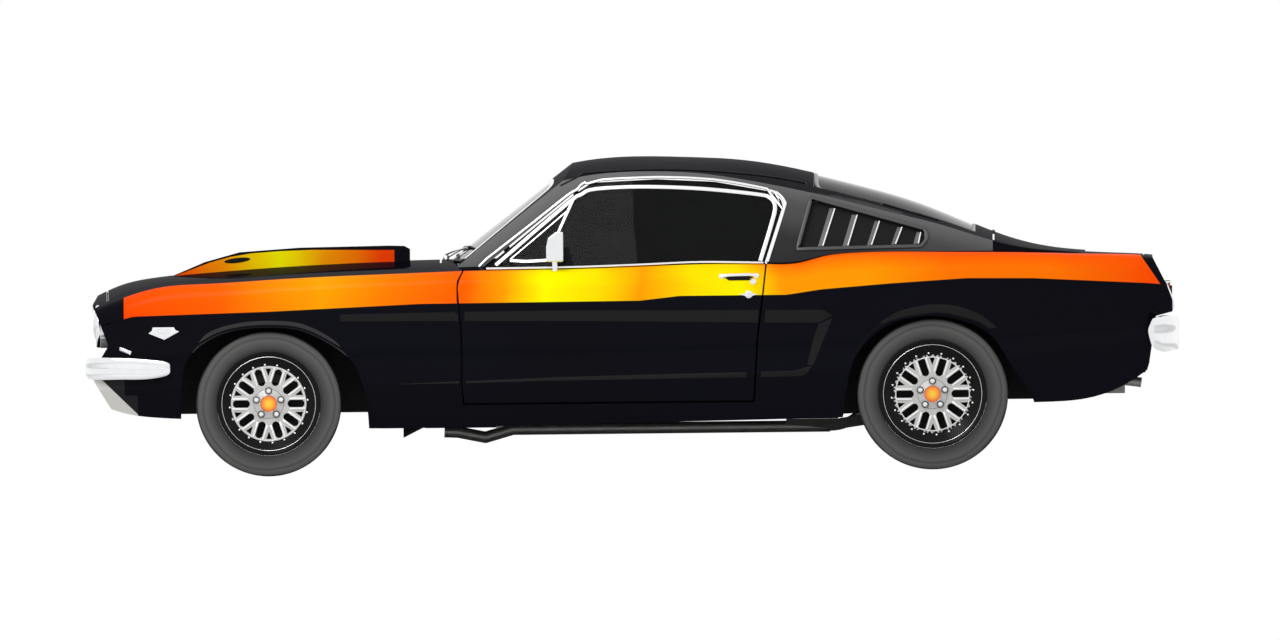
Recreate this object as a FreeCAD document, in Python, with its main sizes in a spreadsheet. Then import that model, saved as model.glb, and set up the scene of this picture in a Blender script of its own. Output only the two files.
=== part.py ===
import FreeCAD, Part
import math
import os
import Sketcher

# A mid-1960s fastback muscle car, rebuilt from one side photograph.
# Millimetres. The nose points to -X, the car's left side is at -Y, the ground is z = 0.

doc = FreeCAD.newDocument("muscle_car")
vec = FreeCAD.Vector

# Driving dimensions
SIZES = [
    ("overall_length", 4519),
    ("half_width", 866),
    ("roof_height", 1306),
    ("wheelbase", 2743),
    ("front_overhang", 755),
    ("half_track", 711),
    ("kingpin_half_track", 690),
    ("front_tyre_radius", 300),
    ("rear_tyre_radius", 312),
    ("front_tyre_half_width", 102),
    ("rear_tyre_half_width", 112),
    ("front_flange_radius", 214),
    ("rear_flange_radius", 224),
    ("tread_chamfer", 12),
    ("front_rim_half_width", 95),
    ("rear_rim_half_width", 105),
    ("rim_wall", 8),
    ("dish_depth", 34),
    ("mesh_thickness", 24),
    ("hub_pad_radius", 75),
    ("hub_ring_radius", 62),
    ("cap_radius", 34),
    ("spoke_slot_half_width", 15),
    ("disc_radius", 134),
    ("disc_thickness", 20),
    ("skin", 14),
    ("wall", 28),
    ("cabin_half_width", 690),
    ("panel_gap", 7),
    ("running_gap", 6),
    ("fit_clearance", 0.3),
    ("glass_thickness", 6),
    ("tube_radius", 24),
    ("axle_tube_radius", 40),
    ("hinge_inset", 62),
    ("hinge_reach", 92),
    ("hinge_pin_radius", 7),
]

sizes = doc.addObject("Spreadsheet::Sheet", "sizes")
for row, (name, value) in enumerate(SIZES, start=1):
    sizes.set("A%d" % row, name)
    sizes.set("B%d" % row, str(value))
    sizes.setAlias("B%d" % row, name)
doc.recompute()


def dim(name):
    return float(sizes.get(name))


HALF_LENGTH = dim("overall_length") / 2
HALF_WIDTH = dim("half_width")
HEIGHT = dim("roof_height")
SKIN = dim("skin")
WALL = dim("wall")
GAP = dim("panel_gap")
FIT = dim("fit_clearance")
CABIN = dim("cabin_half_width")
FRONT_AXLE = dim("front_overhang") - HALF_LENGTH
REAR_AXLE = FRONT_AXLE + dim("wheelbase")


def lx(share):
    return share * HALF_LENGTH


def wy(share):
    return share * HALF_WIDTH


def hz(share):
    return share * HEIGHT


# Lines along the body: shares of half length against shares of height or half width
crown_shares = [
    (-1.00, 0.560), (-0.976, 0.577), (-0.945, 0.606), (-0.899, 0.626), (-0.840, 0.640),
    (-0.726, 0.655), (-0.643, 0.664), (-0.517, 0.674), (-0.404, 0.679), (-0.351, 0.681),
    (0.0, 0.686), (0.307, 0.690), (0.563, 0.695), (0.794, 0.697), (0.843, 0.684),
    (0.925, 0.677), (0.953, 0.668), (1.00, 0.640)]
peak_shares = [
    (-1.00, 0.525), (-0.985, 0.536), (-0.941, 0.560), (-0.907, 0.585), (-0.865, 0.600),
    (-0.773, 0.611), (-0.643, 0.623), (-0.517, 0.632), (-0.309, 0.643), (-0.106, 0.646),
    (0.015, 0.652), (0.124, 0.657), (0.245, 0.655), (0.307, 0.658), (0.350, 0.677),
    (0.398, 0.687), (0.563, 0.688), (0.735, 0.683), (0.925, 0.673), (0.953, 0.662),
    (1.00, 0.635)]
width_shares = [
    (-1.00, 0.895), (-0.929, 0.945), (-0.797, 0.975), (-0.607, 0.988), (-0.310, 0.995),
    (0.0, 1.0), (0.310, 1.0), (0.607, 0.995), (0.797, 0.975), (0.929, 0.940), (1.00, 0.905)]
cove_top_shares = [
    (-1.00, 0.484), (-0.924, 0.486), (-0.388, 0.511), (0.015, 0.513), (0.343, 0.508),
    (1.00, 0.500)]
cove_low_shares = [
    (-1.00, 0.280), (-0.436, 0.287), (0.015, 0.292), (0.316, 0.318), (0.600, 0.335),
    (1.00, 0.420)]
sill_shares = [
    (-1.00, 0.250), (-0.950, 0.215), (-0.900, 0.190), (-0.830, 0.187), (-0.479, 0.146),
    (0.015, 0.158), (0.382, 0.167), (0.742, 0.210), (0.812, 0.214), (0.879, 0.237),
    (0.938, 0.303), (1.00, 0.370)]
roof_shares = [
    (-0.36, 0.965), (-0.143, 0.968), (-0.074, 0.991), (0.048, 1.0), (0.155, 0.993),
    (0.259, 0.972), (0.336, 0.943), (0.438, 0.897), (0.563, 0.825), (0.675, 0.744),
    (0.754, 0.706), (0.83, 0.690)]
drip_shares = [
    (-0.36, 0.900), (-0.116, 0.919), (-0.074, 0.942), (0.048, 0.952), (0.155, 0.938),
    (0.259, 0.906), (0.336, 0.877), (0.563, 0.776), (0.642, 0.728), (0.73, 0.695),
    (0.83, 0.680)]
drip_half_shares = [
    (-0.36, 0.640), (-0.074, 0.680), (0.048, 0.695), (0.259, 0.700), (0.563, 0.730),
    (0.642, 0.742), (0.83, 0.740)]
station_shares = [
    -1.00, -0.965, -0.925, -0.865, -0.773, -0.643, -0.517, -0.400, -0.309, -0.106, 0.10,
    0.245, 0.307, 0.350, 0.398, 0.563, 0.735, 0.843, 0.925, 1.00]
roof_station_shares = [
    -0.36, -0.143, -0.074, 0.048, 0.155, 0.259, 0.336, 0.438, 0.563, 0.675, 0.754, 0.83]


def along(table, share):
    """Height or width share at one place, by straight runs between the table's rows."""
    for (x0, v0), (x1, v1) in zip(table, table[1:]):
        if share <= x1:
            return v0 + (v1 - v0) * (share - x0) / (x1 - x0)
    return table[-1][1]


def spline(points):
    curve = Part.BSplineCurve()
    curve.interpolate([vec(*p) for p in points])
    return curve.toShape()


def line(a, b):
    return Part.makeLine(vec(*a), vec(*b))


def flat(points):
    return Part.Face(Part.makePolygon([vec(*p) for p in points + points[:1]]))


def side_prism(outline, y0, y1):
    """Solid with an x-z outline, from y0 to y1."""
    return flat([(x, y0, z) for x, z in outline]).extrude(vec(0, y1 - y0, 0))


def plan_prism(outline, z0, z1):
    return flat([(x, y, z0) for x, y in outline]).extrude(vec(0, 0, z1 - z0))


def front_prism(outline, x0, x1):
    return flat([(x0, y, z) for y, z in outline]).extrude(vec(x1 - x0, 0, 0))


def block(x0, x1, y0, y1, z0, z1):
    return Part.makeBox(x1 - x0, y1 - y0, z1 - z0, vec(x0, y0, z0))


def both(shape):
    """The shape and its mirror image across the car's middle plane."""
    return [shape, shape.mirror(vec(0, 0, 0), vec(0, 1, 0))]


PEAK_INSET = wy(0.075)
SHOULDER_INSET = wy(0.016)
SHOULDER_DROP = hz(0.022)
WIDEST_DROP = hz(0.060)
COVE_TOP_INSET = wy(0.010)
COVE_INSET = wy(0.028)
LOW_INSET = wy(0.022)
SILL_INSET = wy(0.078)


def body_section(share, inset):
    """Closed section across the lower body, its skin moved inward by the inset."""
    x = lx(share)
    wide = wy(along(width_shares, share)) - inset
    crown = hz(along(crown_shares, share)) - inset
    peak = hz(along(peak_shares, share)) - inset
    cove_top = hz(along(cove_top_shares, share))
    cove_low = hz(along(cove_low_shares, share))
    sill = hz(along(sill_shares, share)) + inset
    rise = crown - peak
    peak_y = wide - PEAK_INSET
    right = [
        [(x, peak_y, peak), (x, wide - SHOULDER_INSET, peak - SHOULDER_DROP),
         (x, wide, peak - WIDEST_DROP)],
        [(x, wide, peak - WIDEST_DROP), (x, wide - COVE_TOP_INSET, cove_top)],
        [(x, wide - COVE_TOP_INSET, cove_top),
         (x, wide - COVE_INSET, (cove_top + cove_low) / 2),
         (x, wide - LOW_INSET, cove_low)],
        [(x, wide - LOW_INSET, cove_low), (x, wide - SILL_INSET, sill)],
    ]
    top = [(x, peak_y * y_share, peak + rise * (1 - abs(y_share) ** 2.4))
           for y_share in (-1.0, -0.7, -0.35, 0.0, 0.35, 0.7, 1.0)]
    edges = [spline(top)]
    for run in right:
        edges.append(spline(run) if len(run) > 2 else line(*run))
    edges.append(line(right[-1][-1], (x, SILL_INSET - wide, sill)))
    for run in reversed(right):
        back = [(px, -py, pz) for px, py, pz in reversed(run)]
        edges.append(spline(back) if len(back) > 2 else line(*back))
    return Part.Wire(edges)


nose_profile_shares = [
    (-0.900, 0.90), (-0.9763, 0.577), (-0.986, 0.548), (-0.958, 0.418), (-0.985, 0.340),
    (-0.985, 0.305), (-0.9455, 0.195), (-0.935, 0.05)]
tail_profile_shares = [
    (0.940, 0.05), (0.938, 0.290), (0.945, 0.330), (0.958, 0.478), (0.9885, 0.492),
    (0.9883, 0.529), (0.9763, 0.584), (0.953, 0.664), (0.940, 0.90)]


def ends_prism(inset):
    """Side-view limits of nose and tail, as a prism over the whole width."""
    outline = [(lx(x) + inset, hz(z)) for x, z in nose_profile_shares]
    outline += [(lx(x) - inset, hz(z)) for x, z in tail_profile_shares]
    return side_prism(outline, -2 * HALF_WIDTH, 2 * HALF_WIDTH)


def body_mass(inset):
    sections = [body_section(share, inset) for share in station_shares]
    return Part.makeLoft(sections, True, False).common(ends_prism(inset))


TUMBLEHOME = 0.43
ROOF_FOOT = hz(0.60)
screen_head_z = hz(1.02)


def roof_section(share, inset):
    x = lx(share)
    half = wy(along(drip_half_shares, share)) - inset
    drip = hz(along(drip_shares, share)) - inset
    crown = hz(along(roof_shares, share)) - inset
    low = half + TUMBLEHOME * (drip - ROOF_FOOT)
    rise = crown - drip
    top = [(x, half * y_share, drip + rise * (1 - abs(y_share) ** 2.2))
           for y_share in (-1.0, -0.7, -0.35, 0.0, 0.35, 0.7, 1.0)]
    edges = [spline(top), line((x, half, drip), (x, low, ROOF_FOOT)),
             line((x, low, ROOF_FOOT), (x, -low, ROOF_FOOT)),
             line((x, -low, ROOF_FOOT), (x, -half, drip))]
    return Part.Wire(edges)


def screen_section(z, centre, edge, half, inset):
    back = lx(0.90)
    points = [(edge + inset, -half, z), (centre + inset + (edge - centre) * 0.25, -half / 2, z),
              (centre + inset, 0, z), (centre + inset + (edge - centre) * 0.25, half / 2, z),
              (edge + inset, half, z)]
    edges = [spline(points), line((edge + inset, half, z), (back, half, z)),
             line((back, half, z), (back, -half, z)), line((back, -half, z), (edge + inset, -half, z))]
    return Part.Wire(edges)


SCREEN_LEAN = 0.765
screen_centre_x = lx(-0.3355)
screen_edge_x = lx(-0.300)


def greenhouse_mass(inset):
    """Roof and fastback loft, cut in front by the raked windscreen surface."""
    roof = Part.makeLoft([roof_section(share, inset) for share in roof_station_shares], True, False)
    wide = wy(1.1)
    slant = inset / math.sin(math.atan(SCREEN_LEAN))
    low_z = ROOF_FOOT - hz(0.05)
    wires = []
    for z in (low_z, screen_head_z + hz(0.05)):
        shift = (z - hz(0.678)) / SCREEN_LEAN
        wires.append(screen_section(z, screen_centre_x + shift, screen_edge_x + lx(0.03) + shift,
                                    wide, slant))
    screen = Part.makeLoft(wires, True, True)
    return roof.common(screen)


def add(label, shape):
    """A named sub-part from a finished shape; its placement carries it to its place."""
    item = doc.addObject("Part::Feature", label)
    item.Label = label
    base = shape.BoundBox.Center
    back = FreeCAD.Matrix()
    back.move(vec(-base.x, -base.y, -base.z))
    moved = shape.copy()
    moved.transformShape(back, True)
    item.Shape = moved
    item.Placement = FreeCAD.Placement(base, FreeCAD.Rotation()).multiply(moved.Placement)
    nodes.append(item)
    return item


nodes = []

# Outer and inner body volumes that every panel is cut from
outer = body_mass(0.0)
inner = body_mass(SKIN)
liner = body_mass(SKIN + FIT)
upper = greenhouse_mass(0.0)
upper_inner = greenhouse_mass(WALL)
upper_skin = greenhouse_mass(SKIN)

FAR = 2 * HALF_WIDTH
TOP = 1.2 * HEIGHT
NOSE_SEAM = lx(-0.929)
TAIL_SEAM = lx(0.938)
BUMPER_SEAM = hz(0.335)
HOOD_FRONT = lx(-0.957)
HOOD_REAR = lx(-0.350)
HOOD_HALF = wy(0.765)
DECK_FRONT = lx(0.661)
DECK_HALF = wy(0.700)
HIP_HALF = wy(0.740)

door_rear_shares = [(0.2215, 0.222), (0.2290, 0.420), (0.2330, 0.475), (0.2400, 0.565), (0.2465, 0.660)]
BELT_CUT = hz(0.70)
front_arch_shares = [
    (-1.223, 0.60), (-1.187, 1.327), (-1.093, 1.643), (-0.797, 1.887), (-0.453, 2.007), (0.0, 2.043),
    (0.443, 1.997), (0.853, 1.800), (1.157, 1.560), (1.280, 1.310), (1.377, 0.677), (1.38, 0.60)]
rear_arch_shares = [
    (-1.220, 0.60), (-1.183, 0.744), (-1.112, 1.192), (-1.032, 1.458), (-0.820, 1.747), (-0.554, 1.929),
    (0.0, 2.035), (0.372, 1.974), (0.731, 1.811), (1.099, 1.276), (1.340, 0.888), (1.36, 0.60)]
side_glass_shares = [
    (-0.2686, 0.6585), (-0.0987, 0.8943), (-0.0713, 0.9242), (0.0474, 0.9334), (0.1545, 0.9234),
    (0.2593, 0.8897), (0.2779, 0.8606), (0.2815, 0.8384), (0.2470, 0.6570), (0.2470, 0.630),
    (-0.2686, 0.630)]
louvre_shares = [
    (0.3315, 0.8630), (0.5355, 0.7611), (0.5373, 0.7259), (0.5289, 0.7067), (0.3049, 0.7014)]


def mm(outline):
    return [(lx(x), hz(z)) for x, z in outline]


def arch(table, centre, radius, y0, y1, grow=0.0):
    """Wheel opening: a smooth arch over the wheel, closed well below the sill."""
    scale = 1 + grow / radius
    points = [(centre + x * radius * scale, y0, radius + (z - 1) * radius * scale) for x, z in table]
    low = -radius
    first, last = points[0], points[-1]
    edges = [spline(points), line(last, (last[0], y0, low)), line((last[0], y0, low), (first[0], y0, low)),
             line((first[0], y0, low), first)]
    return Part.Face(Part.Wire(edges)).extrude(vec(0, y1 - y0, 0))


def shifted(outline, dx, dz=0.0):
    return [(x + dx, z + dz) for x, z in outline]


HINGE_X = lx(-0.3479)
HINGE_Y = wy(0.995) - dim("hinge_inset")
REACH = dim("hinge_reach")
DOOR_EDGE = HINGE_X + REACH
POST_BACK = HINGE_X - 2 * dim("hinge_pin_radius")
door_rear = mm(door_rear_shares)
SILL_LINE = hz(0.222)
front_radius = dim("front_tyre_radius")
rear_radius = dim("rear_tyre_radius")
zone_far = 2 * HALF_LENGTH



def hinge_zone(radius):
    """Everything ahead of a door edge that is curved about the hinge line, on the right side."""
    ahead = block(-zone_far, HINGE_X, 0, FAR, 0, TOP)
    inboard = block(-zone_far, HINGE_X + radius, 0, HINGE_Y, 0, TOP)
    round_edge = Part.makeCylinder(radius, TOP, vec(HINGE_X, HINGE_Y, 0))
    return ahead.fuse([inboard, round_edge])


front_arches = arch(front_arch_shares, FRONT_AXLE, front_radius, -FAR, FAR)
rear_arches = arch(rear_arch_shares, REAR_AXLE, rear_radius, wy(0.62), FAR)
shell = outer.cut(inner)

# Front body: hood, fenders, nose, valance, cowl and engine bay
hood_outline = [(HOOD_FRONT, -HOOD_HALF), (HOOD_REAR, -HOOD_HALF), (HOOD_REAR, HOOD_HALF), (HOOD_FRONT, HOOD_HALF)]
hood_hole = plan_prism([(HOOD_FRONT - GAP, -HOOD_HALF - GAP), (HOOD_REAR + GAP, -HOOD_HALF - GAP),
                        (HOOD_REAR + GAP, HOOD_HALF + GAP), (HOOD_FRONT - GAP, HOOD_HALF + GAP)],
                       hz(0.50), TOP)
scoop_profile_shares = [
    (-0.850, 0.610), (-0.8356, 0.6400), (-0.780, 0.6800), (-0.7165, 0.7100), (-0.6068, 0.7225), (-0.4426, 0.7262),
    (-0.4151, 0.7248), (-0.4045, 0.7150), (-0.4045, 0.640)]
SCOOP_HALF = wy(0.300)
scoop = side_prism(mm(scoop_profile_shares), -SCOOP_HALF, SCOOP_HALF)
hood_skin = shell.common(plan_prism(hood_outline, hz(0.50), TOP))
hood_body = hood_skin.fuse(scoop.cut(inner))
add("hood", hood_body)

fender_zone = block(NOSE_SEAM, DOOR_EDGE, HOOD_HALF * 0.5, FAR, 0, TOP).common(hinge_zone(REACH - GAP))
fender = shell.common(fender_zone).cut(hood_hole).cut(front_arches)
fender = fender.cut(block(-zone_far, zone_far, -FAR, wy(0.80), 0, hz(0.50)))
fender = fender.cut(block(HOOD_REAR + GAP, 0, -FAR, wy(0.860), hz(0.5), TOP))
fender = max(fender.Solids, key=lambda solid: solid.Volume)

nose = shell.common(block(-zone_far, NOSE_SEAM, -FAR, FAR, BUMPER_SEAM, TOP)).cut(hood_hole)
MOUTH_HALF = wy(0.560)
mouth = [(-MOUTH_HALF, hz(0.430)), (MOUTH_HALF, hz(0.430)), (MOUTH_HALF * 0.96, hz(0.545)),
         (-MOUTH_HALF * 0.96, hz(0.545))]
LAMP_RADIUS = wy(0.103)
LAMP_Y = wy(0.765)
LAMP_Z = hz(0.480)
nose = nose.cut(front_prism(mouth, -zone_far, NOSE_SEAM))
for side in (-1, 1):
    bore = Part.makeCylinder(LAMP_RADIUS + FIT, zone_far, vec(NOSE_SEAM - zone_far, side * LAMP_Y, LAMP_Z), vec(1, 0, 0))
    nose = nose.cut(bore)
nose = max(nose.Solids, key=lambda solid: solid.Volume)
add("nose_panel", nose)

grille_sheet = body_mass(SKIN).cut(body_mass(2 * SKIN)).common(
    front_prism([(y * 1.04, z) for y, z in mouth], -zone_far, NOSE_SEAM))
grille_sheet = max(grille_sheet.Solids, key=lambda solid: solid.Volume)
slat_zone = body_mass(SKIN * 0.3).cut(body_mass(SKIN * 1.5)).common(front_prism(mouth, -zone_far, NOSE_SEAM))
slats = block(-zone_far, 0, -wy(0.40), -wy(0.38), 0, TOP).fuse(block(-zone_far, 0, wy(0.38), wy(0.40), 0, TOP))
for place in (0.432, 0.455, 0.483, 0.511, 0.538):
    slats = slats.fuse(block(-zone_far, 0, -FAR, FAR, hz(place), hz(place + 0.005)))
slat_frame = slat_zone.common(slats).common(body_mass(SKIN * 0.3))
slat_frame = slat_frame.common(front_prism([(y * 0.995, z) for y, z in mouth], -zone_far, NOSE_SEAM))
grille = grille_sheet.fuse(slat_frame.Solids)
grille = max(grille.Solids, key=lambda solid: solid.Volume)
add("grille", grille)

lamps = []
for side in (-1, 1):
    bowl = Part.makeCylinder(LAMP_RADIUS, 6 * SKIN, vec(lx(-0.972), side * LAMP_Y, LAMP_Z), vec(1, 0, 0))
    dome_rise = LAMP_RADIUS * 0.34
    dome_radius = (LAMP_RADIUS ** 2 + dome_rise ** 2) / (2 * dome_rise)
    dome = Part.makeSphere(dome_radius, vec(lx(-0.972) + dome_radius - dome_rise, side * LAMP_Y, LAMP_Z))
    dome = dome.common(Part.makeCylinder(LAMP_RADIUS, 4 * SKIN, vec(lx(-0.972) - 3 * SKIN, side * LAMP_Y, LAMP_Z), vec(1, 0, 0)))
    lamps.append(bowl.fuse(dome))
add("headlamps", Part.makeCompound(lamps))

valance = shell.common(block(-zone_far, lx(-0.905), -FAR, FAR, 0, BUMPER_SEAM))
valance = valance.cut(block(NOSE_SEAM, lx(-0.80), -FAR, FAR, hz(0.26), TOP))
valance = max(valance.Solids, key=lambda solid: solid.Volume)
fender = fender.cut(block(-zone_far, lx(-0.905), -FAR, FAR, 0, hz(0.26)))
fender = max(fender.Solids, key=lambda solid: solid.Volume)
add("front_valance", valance)
for name, shape in zip(("fender_right", "fender_left"), both(fender)):
    add(name, shape)

COWL_BACK = lx(-0.235)
PILLAR_FOOT = lx(-0.2686) - GAP
cowl_top = shell.common(block(HOOD_REAR + GAP, COWL_BACK, -HOOD_HALF, HOOD_HALF, hz(0.55), TOP))
firewall = liner.common(block(lx(-0.353), lx(-0.353) + SKIN, -CABIN, CABIN, hz(0.17), TOP))
firewall = firewall.cut(block(-zone_far, 0, SKIN - wy(0.14), wy(0.14) - SKIN, 0, hz(0.295) - SKIN))
cowl = cowl_top.fuse(firewall)
gusset = outer.common(block(HOOD_REAR + GAP, PILLAR_FOOT, HOOD_HALF - SKIN, wy(0.860), hz(0.615), TOP))
post = liner.common(block(POST_BACK - 5 * SKIN, POST_BACK, CABIN * 0.93, FAR, hz(0.235), hz(0.615)))
shelf = block(POST_BACK - SKIN, HOOD_REAR + 4 * GAP, CABIN * 0.93, wy(0.860), hz(0.600), hz(0.615) + FIT)
pin = Part.makeCylinder(dim("hinge_pin_radius"), hz(0.06), vec(0, 0, 0))
side_parts = [gusset, post, shelf.common(liner)]
for place in (0.300, 0.530):
    side_parts.append(pin.translated(vec(HINGE_X, HINGE_Y, hz(place) - hz(0.03))))
    for lug_z in (place - 0.030, place + 0.020):
        side_parts.append(block(POST_BACK - SKIN, HINGE_X, HINGE_Y - SKIN, HINGE_Y + SKIN * 0.5, hz(lug_z), hz(lug_z + 0.010)))
for piece in side_parts:
    for half in both(piece):
        cowl = cowl.fuse(half)
add("cowl", cowl)

APRON = wy(0.510)
RAIL_HALF = wy(0.44)
bay = []
for side in (-1, 1):
    y0, y1 = sorted((side * APRON, side * (APRON + SKIN)))
    bay.append(block(lx(-0.915), lx(-0.353) - FIT, y0, y1, hz(0.20), hz(0.56)))
    y0, y1 = sorted((side * RAIL_HALF, side * APRON))
    bay.append(block(lx(-0.915), lx(-0.353) - FIT, y0, y1, hz(0.20), hz(0.26)))
    y0, y1 = sorted((side * APRON, side * FAR))
    bay.append(block(lx(-0.900), lx(-0.353) - FIT, y0, y1, hz(0.545), hz(0.555)))
bay.append(block(lx(-0.915), lx(-0.915) + SKIN, -APRON, APRON, hz(0.20), hz(0.56)))
bay_shape = bay[0]
for piece in bay[1:]:
    bay_shape = bay_shape.fuse(piece)
bay_shape = bay_shape.common(liner).cut(cowl)
add("engine_bay", bay_shape)

# Floor, sills and rear floor
floor_z = hz(0.165)
TUNNEL_HALF = wy(0.14)
TUNNEL_TOP = floor_z + hz(0.13)
RAIL_Z = hz(0.300)
floor_front = lx(-0.353) + SKIN + FIT
KICK_X = lx(0.375)
TRUNK_Z = hz(0.375)
floor = block(floor_front, KICK_X, -CABIN - FIT, CABIN + FIT, floor_z, floor_z + SKIN)
floor = floor.fuse(block(KICK_X - SKIN, KICK_X, -CABIN * 0.75, CABIN * 0.75, floor_z, TRUNK_Z + SKIN))
floor = floor.fuse(block(KICK_X - SKIN, TAIL_SEAM, -wy(0.60), wy(0.60), TRUNK_Z, TRUNK_Z + SKIN))
floor = floor.fuse(block(floor_front, KICK_X, -TUNNEL_HALF, TUNNEL_HALF, floor_z, TUNNEL_TOP))
for side in (-1, 1):
    y0, y1 = sorted((side * wy(0.55), side * wy(0.61)))
    floor = floor.fuse(block(KICK_X - SKIN, TAIL_SEAM, y0, y1, RAIL_Z, TRUNK_Z + SKIN))
floor = floor.cut(block(floor_front - SKIN, KICK_X + SKIN, SKIN - TUNNEL_HALF, TUNNEL_HALF - SKIN, 0, TUNNEL_TOP - SKIN))
sill_outer = outer.common(block(DOOR_EDGE - GAP, lx(0.383), -FAR, FAR, 0, SILL_LINE - GAP / 2))
sill_outer = sill_outer.cut(block(-zone_far, zone_far, -CABIN, CABIN, -FAR, TOP))
floor = floor.fuse(sill_outer)
floor = floor.cut(arch(rear_arch_shares, REAR_AXLE, rear_radius, -FAR, FAR).cut(
    block(-zone_far, zone_far, -wy(0.62), wy(0.62), -FAR, TOP)))
floor = floor.cut(arch(front_arch_shares, FRONT_AXLE, front_radius, -FAR, FAR))
HOUSE_IN = wy(0.61)
house_side = [(lx(0.360), hz(0.170)), (REAR_AXLE - rear_radius * 0.5, hz(0.170)), (REAR_AXLE - rear_radius * 0.3, RAIL_Z),
              (REAR_AXLE + rear_radius * 0.3, RAIL_Z), (REAR_AXLE + rear_radius * 0.5, hz(0.220)), (lx(0.80), hz(0.220)),
              (lx(0.80), hz(0.60)), (lx(0.360), hz(0.60))]
house = arch(rear_arch_shares, REAR_AXLE, rear_radius, HOUSE_IN, CABIN - FIT, SKIN * 0.8)
house = house.common(side_prism(house_side, HOUSE_IN, wy(0.62)).fuse(block(lx(0.30), lx(0.80), wy(0.62), FAR, hz(0.200), TOP)))
house = house.cut(rear_arches).common(liner)
for half in both(max(house.Solids, key=lambda solid: solid.Volume)):
    floor = floor.fuse(half)
floor = max(floor.Solids, key=lambda solid: solid.Volume)
add("floor_pan", floor)

CROSS_TOP = hz(0.20) - FIT
SHAFT_Z = hz(0.210)
engine = block(lx(-0.680), lx(-0.420), -wy(0.30), wy(0.30), CROSS_TOP + FIT, hz(0.60))
gearbox = Part.makeCone(wy(0.20), wy(0.095), lx(0.08), vec(lx(-0.420), 0, SHAFT_Z + wy(0.06)), vec(1, 0, 0))
gearbox = gearbox.fuse(Part.makeCylinder(wy(0.095), lx(0.34), vec(lx(-0.380), 0, SHAFT_Z), vec(1, 0, 0)))
engine = engine.fuse(gearbox.common(block(lx(-0.430), lx(-0.02), -wy(0.12), wy(0.12), 0, TUNNEL_TOP - SKIN - GAP)))
add("engine", engine)

# Doors
DOOR_LOW = SILL_LINE + GAP / 2
door_prism = side_prism([(HINGE_X, DOOR_LOW)] + shifted(door_rear, -GAP / 2) + [(HINGE_X, door_rear[-1][1])], CABIN, FAR)
above_sill = block(-zone_far, zone_far, CABIN, FAR, DOOR_LOW, TOP)
rear_step = side_prism(shifted(door_rear, -2 * SKIN) + list(reversed(shifted(door_rear, GAP))), CABIN, FAR)
door = outer.common(door_prism).common(above_sill).cut(hinge_zone(REACH)).cut(rear_step.common(inner))
door = door.cut(block(HINGE_X, PILLAR_FOOT + GAP, 0, wy(0.860) + GAP, hz(0.600) - GAP, TOP))
hinge_eye = Part.makeCylinder(2 * dim("hinge_pin_radius"), hz(0.03), vec(HINGE_X, HINGE_Y, 0))
arm_angle = 55
hinge_arm = block(0, REACH * 1.2, -SKIN * 0.5, SKIN * 0.5, 0, hz(0.03))
hinge_arm.rotate(vec(0, 0, 0), vec(0, 0, 1), -arm_angle)
hinge_arm.translate(vec(HINGE_X, HINGE_Y, 0))
hinge = hinge_eye.fuse(hinge_arm)
hinge = hinge.cut(Part.makeCylinder(dim("hinge_pin_radius") + FIT, hz(0.03), vec(HINGE_X, HINGE_Y, 0)))
for place in (0.300, 0.530):
    door = door.fuse(hinge.translated(vec(0, 0, hz(place) - hz(0.015))))

glass_outline = mm(side_glass_shares)
side_hole = side_prism(glass_outline, wy(0.52), FAR)
glass_sheet = greenhouse_mass(dim("glass_thickness") * 0.5).cut(greenhouse_mass(dim("glass_thickness") * 1.5))
run = dim("running_gap") * 4 / 3
pane_wire = Part.makePolygon([vec(x, wy(0.52), z) for x, z in glass_outline + glass_outline[:1]])
pane_wire = pane_wire.makeOffset2D(-run)
pane_prism = Part.Face(pane_wire).extrude(vec(0, FAR, 0))
pane = glass_sheet.common(pane_prism)
pane = max(pane.Solids, key=lambda solid: solid.Volume)
slot_sheet = greenhouse_mass(dim("glass_thickness") * 0.5 - FIT).cut(greenhouse_mass(dim("glass_thickness") * 1.5 + FIT))
slot_low = min(z for x, z in glass_outline) + run - FIT
slot = slot_sheet.common(block(glass_outline[0][0] + run - 2 * FIT, glass_outline[-2][0] - run + 2 * FIT, wy(0.70), FAR, slot_low, hz(0.75)))
door = door.cut(slot)
door = max(door.Solids, key=lambda solid: solid.Volume)

for name, shape in zip(("door_right", "door_left"), both(door)):
    add(name, shape)
for name, shape in zip(("door_glass_right", "door_glass_left"), both(pane)):
    add(name, shape)

MIRROR_X = lx(-0.140)
MIRROR_Y = -wy(0.935)
head_profile = [(-0.016, 0.669), (0.016, 0.669), (0.016, 0.764), (0.002, 0.764), (-0.012, 0.745), (-0.016, 0.715)]
mirror_head = side_prism([(MIRROR_X + lx(x), hz(z)) for x, z in head_profile], MIRROR_Y - wy(0.065), MIRROR_Y + wy(0.065))
mirror_head = mirror_head.makeFillet(hz(0.006), mirror_head.Edges)
stalk = Part.makeCylinder(hz(0.010), hz(0.06), vec(MIRROR_X, MIRROR_Y, hz(0.620)), vec(0, 0, 1))
mirror = mirror_head.fuse(stalk).cut(outer)
mirror = max(mirror.Solids, key=lambda solid: solid.Volume)
add("mirror", mirror)

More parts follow.
